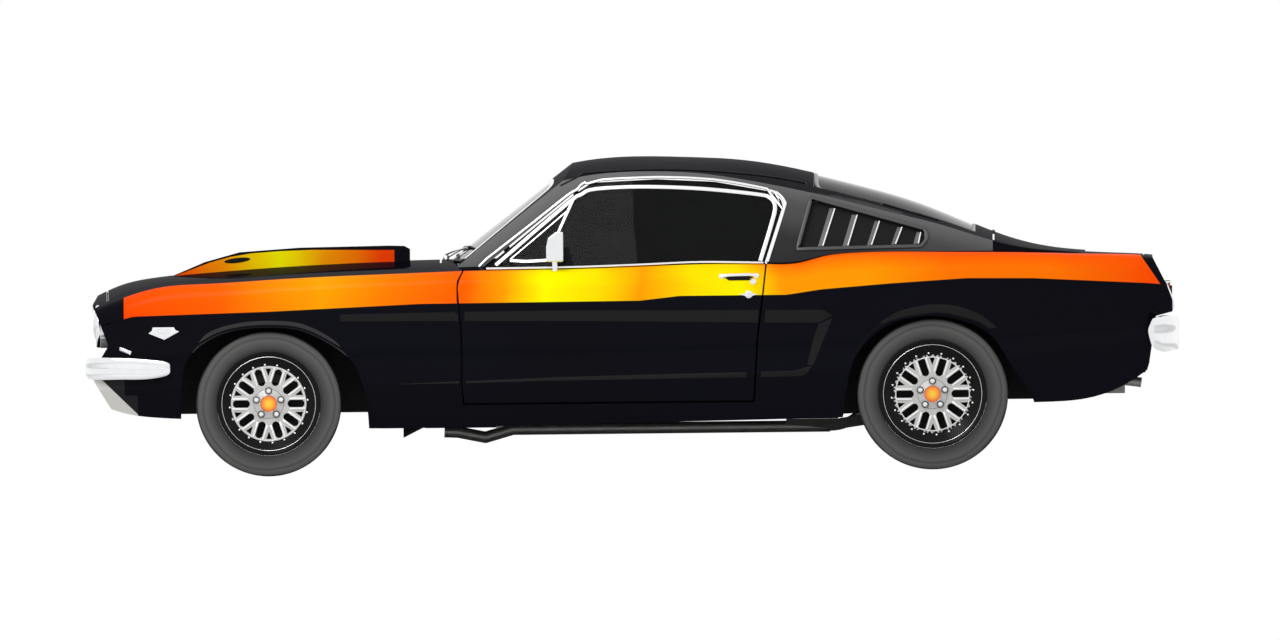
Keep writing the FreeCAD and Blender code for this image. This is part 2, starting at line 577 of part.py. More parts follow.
# Quarters, roof, rear deck and tail
tail_zone = block(DECK_FRONT - 2 * WALL, zone_far, -FAR, FAR, 0, TOP)
tail_outer = outer.common(tail_zone).fuse(upper.common(tail_zone))
tail_inner = inner.common(tail_zone).fuse(upper_skin.common(tail_zone))
tail_shell = tail_outer.cut(tail_inner)
deck_prism = plan_prism([(DECK_FRONT + GAP, -DECK_HALF), (DECK_FRONT + GAP, DECK_HALF),
                         (TAIL_SEAM - GAP, DECK_HALF * 0.97), (TAIL_SEAM - GAP, -DECK_HALF * 0.97)], hz(0.55), TOP)
deck_hole = plan_prism([(DECK_FRONT, -DECK_HALF - GAP), (DECK_FRONT, DECK_HALF + GAP),
                        (TAIL_SEAM, DECK_HALF * 0.97 + GAP), (TAIL_SEAM, -DECK_HALF * 0.97 - GAP)], hz(0.55), TOP)
deck = tail_shell.common(deck_prism)
deck = max(deck.Solids, key=lambda solid: solid.Volume)
LID_PIN = dim("hinge_pin_radius") * 0.3
LID_EYE = LID_PIN * 2.2
LID_AXIS_X = DECK_FRONT + GAP / 2
LID_AXIS_Z = hz(0.7534)
EYE_HALF = wy(0.025)
lid_notches = []
lid_pins = []
for side in (-1, 1):
    y = side * wy(0.135)
    eye = Part.makeCylinder(LID_EYE, 2 * EYE_HALF, vec(LID_AXIS_X, y - EYE_HALF, LID_AXIS_Z), vec(0, 1, 0))
    web = block(LID_AXIS_X, LID_AXIS_X + GAP, y - EYE_HALF, y + EYE_HALF, LID_AXIS_Z - SKIN, LID_AXIS_Z)
    deck = deck.fuse(eye.fuse(web)).cut(Part.makeCylinder(LID_PIN + FIT, 2 * EYE_HALF, vec(LID_AXIS_X, y - EYE_HALF, LID_AXIS_Z), vec(0, 1, 0)))
    pin_half = EYE_HALF + FIT + SKIN
    lid_notches.append(block(LID_AXIS_X - LID_EYE - GAP * 0.7, zone_far, y - EYE_HALF - FIT, y + EYE_HALF + FIT, 0, TOP))
    lid_pins.append(Part.makeCylinder(LID_PIN, 2 * pin_half, vec(LID_AXIS_X, y - pin_half, LID_AXIS_Z), vec(0, 1, 0)))
    for end in (-pin_half, pin_half - SKIN):
        lid_pins.append(block(DECK_FRONT - SKIN, LID_AXIS_X + LID_PIN, y + end, y + end + SKIN, LID_AXIS_Z - SKIN, LID_AXIS_Z + LID_PIN))
    deck = deck.cut(block(0, LID_AXIS_X + GAP * 1.5, y - pin_half - FIT, y - EYE_HALF, 0, TOP))
    deck = deck.cut(block(0, LID_AXIS_X + GAP * 1.5, y + EYE_HALF, y + pin_half + FIT, 0, TOP))
deck = max(deck.Solids, key=lambda solid: solid.Volume)
add("deck_lid", deck)

quarter_front = side_prism(shifted(door_rear, GAP / 2) + [(DECK_FRONT, TOP), (DECK_FRONT, 0.0), (door_rear[0][0] + GAP / 2, 0.0)],
                           0.0, FAR)
thick = outer.common(quarter_front).cut(block(-zone_far, zone_far, -FAR, CABIN, 0, hz(0.60)))
thick = thick.cut(block(-zone_far, zone_far, -FAR, HIP_HALF, 0, TOP))
thick = thick.cut(block(-zone_far, lx(0.383), -FAR, FAR, 0, SILL_LINE - GAP / 2))
rear_skin = tail_shell.common(block(DECK_FRONT, TAIL_SEAM, 0, FAR, 0, TOP)).cut(deck_hole)
rear_skin = rear_skin.cut(block(-zone_far, zone_far, -FAR, wy(0.66), 0, hz(0.40)))
quarter = thick.fuse(rear_skin).cut(rear_arches)
quarter = max(quarter.Solids, key=lambda solid: solid.Volume)
for name, shape in zip(("quarter_right", "quarter_left"), both(quarter)):
    add(name, shape)

roof_shell = upper.cut(upper_inner).cut(outer)
roof_shell = roof_shell.cut(block(DECK_FRONT, zone_far, -FAR, FAR, 0, TOP))
screen_hole = front_prism([(-wy(0.750), hz(0.660)), (-wy(0.610), hz(0.905)), (-wy(0.30), hz(0.930)),
                           (0.0, hz(0.935)), (wy(0.30), hz(0.930)), (wy(0.610), hz(0.905)), (wy(0.750), hz(0.660))],
                          -zone_far, lx(-0.10))
rear_hole = plan_prism([(lx(0.335), -wy(0.590)), (lx(0.335), wy(0.590)), (lx(0.630), wy(0.620)),
                        (lx(0.630), -wy(0.620))], hz(0.60), TOP)
louvre_hole = side_prism(mm(louvre_shares), wy(0.655), FAR)
roof = roof_shell.cut(screen_hole).cut(rear_hole)
for hole in both(side_hole) + both(louvre_hole):
    roof = roof.cut(hole)
for notch in lid_notches:
    roof = roof.cut(notch)
for pin in lid_pins:
    roof = roof.fuse(pin)
roof = max(roof.Solids, key=lambda solid: solid.Volume)
add("roof", roof)

screen_sheet = greenhouse_mass(SKIN * 0.5).cut(greenhouse_mass(SKIN)).cut(outer)
screen_pane = screen_sheet.common(front_prism([(-wy(0.746), hz(0.662)), (-wy(0.606), hz(0.903)), (-wy(0.30), hz(0.928)),
                                               (0.0, hz(0.933)), (wy(0.30), hz(0.928)), (wy(0.606), hz(0.903)),
                                               (wy(0.746), hz(0.662))], -zone_far, lx(-0.10)))
add("windscreen", max(screen_pane.Solids, key=lambda solid: solid.Volume))
rear_pane = screen_sheet.common(plan_prism([(lx(0.335) + FIT, -wy(0.590) + FIT), (lx(0.335) + FIT, wy(0.590) - FIT),
                                            (lx(0.630) - FIT, wy(0.620) - FIT), (lx(0.630) - FIT, -wy(0.620) + FIT)],
                                           hz(0.60), TOP))
add("rear_window", max(rear_pane.Solids, key=lambda solid: solid.Volume))
louvre_wire = Part.makePolygon([vec(x, wy(0.655), z) for x, z in mm(louvre_shares) + mm(louvre_shares[:1])])
louvre_face = Part.Face(louvre_wire.makeOffset2D(-FIT))
louvre = upper_skin.cut(upper_inner).common(louvre_face.extrude(vec(0, FAR, 0))).cut(outer)
fin_ground = greenhouse_mass(SKIN * 0.75)
louvre_low = 0.7130
for low_front, low_back, high_front, high_back, high in [(0.3095, 0.3270, 0.3345, 0.3510, 0.853), (0.3510, 0.3720, 0.3740, 0.3920, 0.832),
                                                         (0.3970, 0.4160, 0.4160, 0.4330, 0.812), (0.4400, 0.4590, 0.4560, 0.4730, 0.792),
                                                         (0.4830, 0.5010, 0.4980, 0.5130, 0.772)]:
    recess = side_prism(mm([(low_front, louvre_low), (low_back, louvre_low), (high_back, high - 0.012), (high_front, high - 0.008)]), wy(0.655), FAR)
    louvre = louvre.cut(recess.cut(fin_ground))
louvre = max(louvre.Solids, key=lambda solid: solid.Volume)
add("quarter_louvres", Part.makeCompound(both(louvre)))

tail = tail_shell.common(block(TAIL_SEAM, zone_far, -FAR, FAR, 0, TOP))
tail_lamp_holes = []
tail_lamp_bars = []
for side in (-1, 1):
    for place in (0.500, 0.585, 0.670):
        y = side * wy(place)
        half = wy(0.030)
        tail_lamp_holes.append(block(TAIL_SEAM, zone_far, y - half, y + half, hz(0.500), hz(0.585)))
        tail_lamp_bars.append(block(lx(0.960), lx(0.984), y - half + FIT, y + half - FIT, hz(0.500) + FIT, hz(0.585) - FIT))
for hole in tail_lamp_holes:
    tail = tail.cut(hole)
filler = Part.makeCylinder(wy(0.068), 2 * SKIN, vec(lx(0.972), 0, hz(0.545)), vec(1, 0, 0))
filler = filler.fuse(Part.makeCylinder(wy(0.045), 2.6 * SKIN, vec(lx(0.972), 0, hz(0.545)), vec(1, 0, 0)))
tail = tail.fuse(filler)
tail = max(tail.Solids, key=lambda solid: solid.Volume)
add("tail_panel", tail)
add("tail_lamps", Part.makeCompound(tail_lamp_bars))


tube = dim("tube_radius")
blade_shares = [(-1.0, 0.15), (-0.35, 0.0), (-0.02, 0.24), (-0.14, 0.50), (0.0, 0.74), (-0.35, 1.0), (-1.0, 0.85)]


def bumper(stations, depth, sign):
    """Blade lofted through upright sections round the end of the body: plan shares, then lowest and highest share."""
    sections = []
    for k, hand in [(k, -1) for k in range(len(stations) - 1, 0, -1)] + [(k, 1) for k in range(len(stations))]:
        x, y, low, high = stations[k]
        before = stations[k - 1] if k else (stations[1][0], -stations[1][1])
        after = stations[min(k + 1, len(stations) - 1)]
        run_x, run_y = lx(after[0] - before[0]), wy(after[1] - before[1])
        run_length = math.hypot(run_x, run_y)
        points = [vec(sign * (lx(x) + depth * across * run_y / run_length), hand * (wy(y) - depth * across * run_x / run_length),
                      hz(low + (high - low) * up)) for across, up in blade_shares]
        curve = Part.BSplineCurve()
        curve.interpolate(points, PeriodicFlag=True)
        sections.append(Part.Wire(curve.toShape()))
    return Part.makeLoft(sections, True, False)


front_blade_shares = [
    (1.0, 0.0, 0.322, 0.372), (0.999, 0.42, 0.320, 0.374), (0.998, 0.70, 0.316, 0.378), (0.994, 0.83, 0.313, 0.380),
    (0.982, 0.905, 0.311, 0.381), (0.960, 0.945, 0.311, 0.381), (0.925, 0.963, 0.311, 0.379),
    (0.880, 0.972, 0.313, 0.373), (0.845, 0.974, 0.328, 0.360)]
rear_blade_shares = [
    (1.0, 0.0, 0.372, 0.476), (0.998, 0.42, 0.372, 0.476), (0.992, 0.70, 0.370, 0.478), (0.981, 0.84, 0.366, 0.480),
    (0.968, 0.925, 0.368, 0.478), (0.955, 0.965, 0.380, 0.470)]
front_bar = bumper(front_blade_shares, SKIN * 1.4, -1)
for side in (-1, 1):
    iron = block(-lx(0.997) + SKIN, -lx(0.940), side * wy(0.38) - tube, side * wy(0.38) + tube, hz(0.330), hz(0.364))
    front_bar = front_bar.fuse(iron)
add("front_bumper", front_bar.cut(outer))
rear_bar = bumper(rear_blade_shares, SKIN * 1.4, 1)
for side in (-1, 1):
    iron = block(lx(0.940), lx(0.998) - SKIN, side * wy(0.40) - tube, side * wy(0.40) + tube, hz(0.405), hz(0.440))
    rear_bar = rear_bar.fuse(iron)
add("rear_bumper", rear_bar.cut(outer))

# Cabin
dash = block(lx(-0.340), lx(-0.265), -CABIN + 2 * GAP, CABIN - 2 * GAP, hz(0.48), hz(0.640)).common(liner)
wheel_centre = vec(lx(-0.205), -wy(0.40), hz(0.60))
wheel_axis = vec(1, 0, 0.35).normalize()
HUB_DEPTH = wy(0.08)
column = Part.makeCylinder(wy(0.028), wy(0.14), wheel_centre - wheel_axis * (HUB_DEPTH + FIT + wy(0.14)), wheel_axis)
dash = dash.fuse(column).cut(cowl)
add("dashboard", dash)
seats = []
for side in (-1, 1):
    y0 = side * wy(0.41) - wy(0.25)
    y1 = side * wy(0.41) + wy(0.25)
    cushion = block(lx(-0.130), lx(0.080), y0, y1, floor_z + SKIN, hz(0.33))
    back = side_prism([(lx(0.050), hz(0.30)), (lx(0.095), hz(0.28)), (lx(0.170), hz(0.66)), (lx(0.135), hz(0.67))], y0, y1)
    seats.append(cushion.fuse(back))
BENCH_HALF = HOUSE_IN - GAP
bench = block(lx(0.300), KICK_X - SKIN - FIT, -BENCH_HALF, BENCH_HALF, floor_z + SKIN, hz(0.35))
bench = bench.fuse(side_prism([(lx(0.380), TRUNK_Z + SKIN), (lx(0.430), TRUNK_Z + SKIN), (lx(0.480), hz(0.66)), (lx(0.450), hz(0.67))],
                              -BENCH_HALF, BENCH_HALF))
bench = bench.cut(block(lx(0.10), KICK_X, -TUNNEL_HALF - FIT, TUNNEL_HALF + FIT, 0, TUNNEL_TOP + FIT))
seats.extend(bench.Solids)
add("seats", Part.makeCompound(seats))

RING = wy(0.215)
GRIP = wy(0.016)
grip_shares = [(1.0, 0.35), (0.6, 1.0), (-0.6, 1.0), (-1.0, 0.35), (-1.0, -0.35), (-0.6, -1.0), (0.6, -1.0), (1.0, -0.35)]
grip_face = flat([(RING + GRIP * across, 0, GRIP * up) for across, up in grip_shares])
steering = grip_face.revolve(vec(0, 0, 0), vec(0, 0, 1), 360)
hub = Part.makeCylinder(wy(0.045), HUB_DEPTH + GRIP, vec(0, 0, -HUB_DEPTH))
steering = steering.fuse(hub)
for turn_deg in (0, 120, 240):
    arm = block(0, RING, -GRIP * 0.9, GRIP * 0.9, -GRIP * 0.3, GRIP * 0.3)
    arm.rotate(vec(0, 0, 0), vec(0, 0, 1), turn_deg + 90)
    steering = steering.fuse(arm)
steering.rotate(vec(0, 0, 0), vec(0, 1, 0), math.degrees(math.atan2(wheel_axis.x, wheel_axis.z)))
steering.translate(wheel_centre)
add("steering_wheel", steering)

# Running gear
def rod(a, b, radius):
    run_vector = vec(*b) - vec(*a)
    return Part.makeCylinder(radius, run_vector.Length, vec(*a), run_vector)


kingpin = dim("kingpin_half_track")
track = dim("half_track")
arms = block(FRONT_AXLE - 2 * tube, FRONT_AXLE + 2 * tube, -APRON, APRON, hz(0.135), CROSS_TOP)
for side in (-1, 1):
    arms = arms.fuse(rod((FRONT_AXLE, side * wy(0.42), hz(0.145)), (FRONT_AXLE, side * (kingpin - 2 * tube), hz(0.145)), tube * 0.8))
    arms = arms.fuse(rod((FRONT_AXLE, side * (APRON + SKIN + FIT), hz(0.320)), (FRONT_AXLE, side * (kingpin - 2 * tube), hz(0.320)), tube * 0.7))
add("front_suspension", arms)
for name, side in (("knuckle_right", 1), ("knuckle_left", -1)):
    y = side * (kingpin - tube)
    upright = block(FRONT_AXLE - tube, FRONT_AXLE + tube, min(y, y - side * 2 * tube), max(y, y - side * 2 * tube),
                    hz(0.145) + tube * 0.8 + FIT, hz(0.320) - tube * 0.7 - FIT)
    disc_back = track - dim("disc_thickness")
    spindle = rod((FRONT_AXLE, y - side * tube, front_radius), (FRONT_AXLE, side * (disc_back - FIT), front_radius), tube * 0.8)
    knuckle = upright.fuse(spindle)
    disc_edge = dim("disc_radius") + GAP
    y0, y1 = kingpin - tube - GAP / 2, track + 2 * GAP
    clamp = Part.makeCylinder(disc_edge + SKIN, y1 - y0, vec(FRONT_AXLE, y0, front_radius), vec(0, 1, 0), 60)
    clamp = clamp.cut(Part.makeCylinder(disc_edge * 0.65, y1 - y0, vec(FRONT_AXLE, y0, front_radius), vec(0, 1, 0)))
    clamp = clamp.cut(Part.makeCylinder(disc_edge, dim("disc_thickness") + 2 * GAP * 0.8,
                                        vec(FRONT_AXLE, disc_back - GAP * 0.8, front_radius), vec(0, 1, 0)))
    clamp.rotate(vec(FRONT_AXLE, 0, front_radius), vec(0, 1, 0), -30)
    if side < 0:
        clamp = clamp.mirror(vec(0, 0, 0), vec(0, 1, 0))
    knuckle = knuckle.fuse(clamp)
    add(name, knuckle)

axle_end = track - dim("disc_thickness") - FIT
rear_axle = rod((REAR_AXLE, -axle_end, rear_radius), (REAR_AXLE, axle_end, rear_radius), dim("axle_tube_radius"))
rear_axle = rear_axle.fuse(Part.makeSphere(3 * dim("axle_tube_radius"), vec(REAR_AXLE, 0, rear_radius)))
add("rear_axle", rear_axle)
springs = []
for side in (-1, 1):
    y = side * wy(0.58)
    seat_z = rear_radius - dim("axle_tube_radius") - FIT
    leaf = SKIN * 1.6
    springs.append(side_prism([(lx(0.280), floor_z - leaf - FIT), (KICK_X, floor_z - 2 * leaf), (REAR_AXLE, seat_z - 2 * leaf),
                               (lx(0.83), RAIL_Z - leaf - FIT), (lx(0.83), RAIL_Z - FIT), (REAR_AXLE + 2 * tube, seat_z),
                               (REAR_AXLE - 2 * tube, seat_z), (KICK_X, floor_z - FIT), (lx(0.280), floor_z - FIT)],
                              y - tube, y + tube))
add("leaf_springs", Part.makeCompound(springs))
shaft = rod((lx(-0.02) + FIT, 0, SHAFT_Z), (REAR_AXLE - 3 * dim("axle_tube_radius"), 0, rear_radius), tube * 1.3)
shaft = shaft.cut(block(-zone_far, lx(-0.02) + FIT, -FAR, FAR, 0, TOP)).cut(rear_axle)
add("propeller_shaft", shaft)
tank = block(lx(0.700), lx(0.900), -wy(0.42), wy(0.42), hz(0.235), TRUNK_Z - FIT)
add("fuel_tank", tank)
pipes = []
for side in (-1, 1):
    pipe_z = floor_z - tube - GAP
    pipe = rod((lx(-0.22), side * wy(0.26), pipe_z), (lx(0.36), side * wy(0.26), pipe_z), tube)
    bends = [(lx(-0.345), pipe_z - tube * 0.3), (lx(-0.320), pipe_z - tube * 0.4), (lx(-0.270), pipe_z - tube * 1.35), (lx(-0.22), pipe_z)]
    for (x0, z0), (x1, z1) in zip(bends, bends[1:]):
        pipe = pipe.fuse(rod((x0, side * wy(0.26), z0), (x1, side * wy(0.26), z1), tube))
    for x0, z0 in bends[1:]:
        pipe = pipe.fuse(Part.makeSphere(tube, vec(x0, side * wy(0.26), z0)))
    for place in (-0.25, 0.30):
        pipe = pipe.fuse(block(lx(place), lx(place) + 2 * SKIN, side * wy(0.26) - tube / 2, side * wy(0.26) + tube / 2,
                               pipe_z, floor_z - FIT))
    tail_path = spline([vec(lx(0.36), side * wy(0.26), pipe_z), vec(lx(0.400), side * wy(0.28), pipe_z + tube),
                        vec(lx(0.455), side * wy(0.38), hz(0.265)), vec(lx(0.505), side * wy(0.475), hz(0.325)),
                        vec(REAR_AXLE, side * wy(0.497), hz(0.340)), vec(lx(0.600), side * wy(0.497), hz(0.320)),
                        vec(lx(0.660), side * wy(0.497), hz(0.280)), vec(lx(0.740), side * wy(0.497), hz(0.268)),
                        vec(lx(0.930), side * wy(0.497), hz(0.268))])
    ring = Part.Wire(Part.makeCircle(tube * 0.85, vec(lx(0.36), side * wy(0.26), pipe_z), vec(1, 0, 0)))
    tail_pipe = Part.Wire(tail_path).makePipeShell([ring], True, True)
    hanger = block(lx(0.800), lx(0.800) + SKIN, side * wy(0.497) - tube / 2, side * wy(0.497) + tube / 2, hz(0.268), TRUNK_Z - FIT)
    pipe = pipe.fuse(tail_pipe).fuse(hanger)
    pipes.append(pipe)
add("exhaust", Part.makeCompound(pipes))


# Wheels and tyres: profiles in the x-y plane turned about the y axis
def sketch(body, role, name, points):
    plane = [item for item in body.Origin.OriginFeatures if item.Role == role][0]
    drawn = body.newObject("Sketcher::SketchObject", name)
    drawn.AttachmentSupport = [(plane, "")]
    drawn.MapMode = "FlatFace"
    count = len(points)
    start = [vec(math.cos(2 * math.pi * k / count), math.sin(2 * math.pi * k / count), 0) for k in range(count)]
    for k in range(count):
        drawn.addGeometry(Part.LineSegment(start[k], start[(k + 1) % count]), False)
    for k in range(count):
        drawn.addConstraint(Sketcher.Constraint("Coincident", k, 2, (k + 1) % count, 1))
    for k, (across, up) in enumerate(points):
        for kind, rule in (("DistanceX", across), ("DistanceY", up)):
            place = drawn.addConstraint(Sketcher.Constraint(kind, -1, 1, k, 1, 1.0))
            drawn.setExpression("Constraints[%d]" % place, rule)
    return drawn


def ring_body(label, points):
    body = doc.addObject("PartDesign::Body", label)
    body.Label = label
    drawn = sketch(body, "XY_Plane", label + "_profile", points)
    turned = body.newObject("PartDesign::Revolution", label + "_ring")
    turned.Profile = drawn
    turned.ReferenceAxis = (drawn, ["V_Axis"])
    turned.Angle = 360
    body.Tip = turned
    return body


def tyre_points(end):
    seat = "sizes.%s_flange_radius + sizes.fit_clearance" % end
    outside = "sizes.%s_tyre_radius" % end
    half = "sizes.%s_tyre_half_width" % end
    edge = "sizes.tread_chamfer"
    return [(seat, "-" + half), ("%s - %s" % (outside, edge), "-" + half), (outside, "%s - %s" % (edge, half)),
            (outside, "%s - %s" % (half, edge)), ("%s - %s" % (outside, edge), half), (seat, half)]


def wheel_points(end):
    flange = "sizes.%s_flange_radius" % end
    half = "sizes.%s_rim_half_width" % end
    bore = "(%s - sizes.rim_wall)" % flange
    face = "(%s - sizes.dish_depth)" % half
    back = "(%s - sizes.mesh_thickness)" % face
    return [(flange, "-" + half), (flange, half), (bore, half), (bore, "-" + back),
            ("sizes.hub_pad_radius", "-" + back), ("sizes.hub_pad_radius", "0 mm"),
            ("sizes.disc_radius", "0 mm"), ("sizes.disc_radius", "sizes.disc_thickness"),
            ("0 mm", "sizes.disc_thickness"),
            ("0 mm", "-(%s + sizes.rim_wall)" % face), ("sizes.cap_radius", "-(%s + sizes.rim_wall)" % face),
            ("sizes.hub_ring_radius", "-" + face),
            ("%s * 0.73" % flange, "-" + face), (bore, "-" + half)]


def spoke_holes(body, end, label):
    """Ten long slots, and ten small windows in the forks of the spokes between them."""
    flange = "sizes.%s_flange_radius" % end
    half = "sizes.spoke_slot_half_width"
    start = "(sizes.hub_ring_radius + sizes.rim_wall * 2)"
    stop = "%s * 0.69" % flange
    turn_axis = [item for item in body.Origin.OriginFeatures if item.Role == "Y_Axis"][0]
    slot = sketch(body, "XZ_Plane", label + "_slot", [
        (start, "-%s * 0.4" % half), ("%s + %s * 0.6" % (start, half), "-" + half), ("%s - %s * 0.6" % (stop, half), "-" + half),
        (stop, "-%s * 0.4" % half), (stop, "%s * 0.4" % half), ("%s - %s * 0.6" % (stop, half), half),
        ("%s + %s * 0.6" % (start, half), half), (start, "%s * 0.4" % half)])
    near, wide = 0.53, 0.68
    angle = math.radians(18)
    fork = []
    for radius_share, spread_share in ((near, 0.0), (wide, -0.055), (wide, 0.055)):
        c, d = math.cos(angle), math.sin(angle)
        fork.append(("%s * %.4f" % (flange, radius_share * c - spread_share * d),
                     "%s * %.4f" % (flange, radius_share * d + spread_share * c)))
    window = sketch(body, "XZ_Plane", label + "_window", fork)
    for drawn in (slot, window):
        pocket = body.newObject("PartDesign::Pocket", drawn.Name + "_cut")
        pocket.Profile = drawn
        pocket.Type = "ThroughAll"
        pocket.SideType = "One side"
        pocket.Reversed = True
        pattern = body.newObject("PartDesign::PolarPattern", drawn.Name + "_ring")
        pattern.Originals = [pocket]
        pattern.Axis = (turn_axis, [""])
        pattern.Angle = 360
        pattern.Occurrences = 10
        body.Tip = pattern


for end, axle_x, radius in (("front", FRONT_AXLE, front_radius), ("rear", REAR_AXLE, rear_radius)):
    for hand, side in (("left", -1), ("right", 1)):
        turn = FreeCAD.Rotation(vec(0, 0, 1), 0 if side < 0 else 180)
        place = FreeCAD.Placement(vec(axle_x, side * track, radius), turn)
        tyre = ring_body("tyre_%s_%s" % (end, hand), tyre_points(end))
        wheel = ring_body("wheel_%s_%s" % (end, hand), wheel_points(end))
        spoke_holes(wheel, end, wheel.Label)
        for body in (tyre, wheel):
            body.Placement = place
            nodes.append(body)

doc.recompute()
for item in doc.Objects:
    for flag in ("Invalid", "Error"):
        if flag in item.State:
            raise RuntimeError("%s is %s" % (item.Label, flag))
os.makedirs("parts", exist_ok=True)
for item in nodes:
    shape = item.Shape
    if shape.isNull() or not shape.isValid():
        raise RuntimeError("%s has no valid shape" % item.Label)
    shape.exportStep("parts/%s.step" % item.Label)
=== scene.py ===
import math

import bmesh
import bpy
import numpy as np
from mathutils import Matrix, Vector
from mathutils.bvhtree import BVHTree


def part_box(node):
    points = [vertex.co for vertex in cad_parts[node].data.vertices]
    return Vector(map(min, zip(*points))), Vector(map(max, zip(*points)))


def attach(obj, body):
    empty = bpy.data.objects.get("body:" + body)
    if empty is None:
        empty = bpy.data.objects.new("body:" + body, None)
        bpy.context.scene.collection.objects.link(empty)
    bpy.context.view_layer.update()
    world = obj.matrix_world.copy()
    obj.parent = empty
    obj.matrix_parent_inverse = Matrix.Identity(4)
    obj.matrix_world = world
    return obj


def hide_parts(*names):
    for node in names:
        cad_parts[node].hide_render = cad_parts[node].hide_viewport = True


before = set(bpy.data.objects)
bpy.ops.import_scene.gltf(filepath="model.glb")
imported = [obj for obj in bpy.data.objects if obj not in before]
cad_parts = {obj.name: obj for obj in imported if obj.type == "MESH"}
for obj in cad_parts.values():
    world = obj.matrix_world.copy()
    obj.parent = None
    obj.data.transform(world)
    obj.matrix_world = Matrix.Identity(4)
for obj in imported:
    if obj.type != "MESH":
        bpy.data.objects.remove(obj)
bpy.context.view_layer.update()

bl_info = {
    "name": "Fastback muscle car",
    "version": (1, 0, 0),
    "blender": (4, 5, 0),
    "location": "3D View > Sidebar > Muscle Car",
    "description": "Paint, chrome, glass, wheels and cabin of a two-door fastback",
    "category": "Add Mesh",
}

FRONT_AXLE = (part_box("tyre_front_left")[0].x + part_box("tyre_front_left")[1].x) / 2
REAR_AXLE = (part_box("tyre_rear_left")[0].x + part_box("tyre_rear_left")[1].x) / 2
TRACK = 0.711
HALF_CAR = 0.866
REACH = 2.26
# Height that stands at the top of a float curve
CURVE_TOP = 1.5
WELD = 2e-6
SHARP = math.radians(38)
SCOOP_END = -0.93
# Radius at which a wheel's silver face gives way to its black lip
FACE_RADIUS = 0.1575
FLANGE = {"front": 0.2143, "rear": 0.2243}
CLOTH_FRAMES = 20
AIR_PRESSURE = 4.0
WHEELS = (
    ("front_left", FRONT_AXLE, -1),
    ("front_right", FRONT_AXLE, 1),
    ("rear_left", REAR_AXLE, -1),
    ("rear_right", REAR_AXLE, 1),
)
SIDES = (("left", -1), ("right", 1))

# Lines of the side view, as (x, z) in metres
BELT = [
    (-2.260, 0.700), (-2.126, 0.734), (-2.050, 0.768), (-1.955, 0.786), (-1.747, 0.800), (-1.452, 0.816),
    (-1.169, 0.828), (-0.876, 0.837), (-0.698, 0.842), (-0.240, 0.846), (0.033, 0.854), (0.281, 0.863),
    (0.554, 0.858), (0.694, 0.861), (0.792, 0.891), (0.900, 0.902), (1.272, 0.902), (1.661, 0.895),
    (2.090, 0.881), (2.154, 0.866), (2.260, 0.830)]
BAND_LOW = [
    (-2.260, 0.630), (-2.115, 0.652), (-2.060, 0.666), (-1.509, 0.680), (-0.876, 0.706), (0.033, 0.710),
    (0.198, 0.728), (0.640, 0.728), (0.784, 0.749), (1.060, 0.770), (1.384, 0.789), (1.661, 0.786),
    (2.127, 0.761), (2.260, 0.750)]
DRIP = [
    (-0.760, 0.850), (-0.290, 1.200), (-0.223, 1.232), (-0.161, 1.252), (0.109, 1.262), (0.349, 1.252),
    (0.586, 1.226), (0.760, 1.190), (0.990, 1.126), (1.272, 1.040), (1.450, 0.980), (1.560, 0.935), (2.260, 0.900)]

SCOOP_EDGE = [
    (-1.930, 0.815), (-1.894, 0.830), (-1.822, 0.856), (-1.738, 0.887), (-1.654, 0.909), (-1.570, 0.922),
    (-1.452, 0.930), (-1.317, 0.934), (-1.148, 0.932), (-0.979, 0.930), (-0.900, 0.929)]
# Half of the car's width along its length, as (x, y)
HALF_WIDTH = [
    (-2.260, 0.775), (-2.099, 0.818), (-1.801, 0.844), (-1.3715, 0.8556), (-0.700, 0.8617), (0.000, 0.866),
    (0.700, 0.866), (1.3715, 0.8617), (1.801, 0.844), (2.099, 0.814), (2.260, 0.784)]
LOUVRE = [(0.749, 1.127), (1.210, 0.994), (1.220, 0.970), (1.214, 0.945), (1.195, 0.923), (0.689, 0.916)]
FRONT_ARCH = [
    (-1.868, 0.250), (-1.860, 0.398), (-1.832, 0.493), (-1.743, 0.566), (-1.640, 0.602), (-1.504, 0.613),
    (-1.371, 0.599), (-1.248, 0.540), (-1.157, 0.468), (-1.120, 0.393), (-1.095, 0.250)]
REAR_ARCH = [
    (0.872, 0.250), (0.892, 0.372), (0.917, 0.455), (0.983, 0.545), (1.066, 0.602), (1.239, 0.633), (1.355, 0.616),
    (1.467, 0.565), (1.582, 0.398), (1.650, 0.290)]


# Surfaces

def grid(points, wrap_u=False, wrap_v=False):
    """Four-sided faces between the neighbours of a grid of points; a wrapped way joins its last row to its first."""
    count_u, count_v = points.shape[:2]
    i, j = np.meshgrid(np.arange(count_u - (not wrap_u)), np.arange(count_v - (not wrap_v)), indexing="ij")
    i2, j2 = (i + 1) % count_u, (j + 1) % count_v
    faces = np.stack([i * count_v + j, i2 * count_v + j, i2 * count_v + j2, i * count_v + j2], -1)
    return points.reshape(-1, 3), faces.reshape(-1, 4)


def joined(parts):
    """Several grids as one: the faces of each are moved on by the points that stand before them."""
    points, faces, start = [], [], 0
    for part_points, part_faces in parts:
        points.append(part_points)
        faces.append(part_faces + start)
        start += len(part_points)
    return np.concatenate(points), np.concatenate(faces)


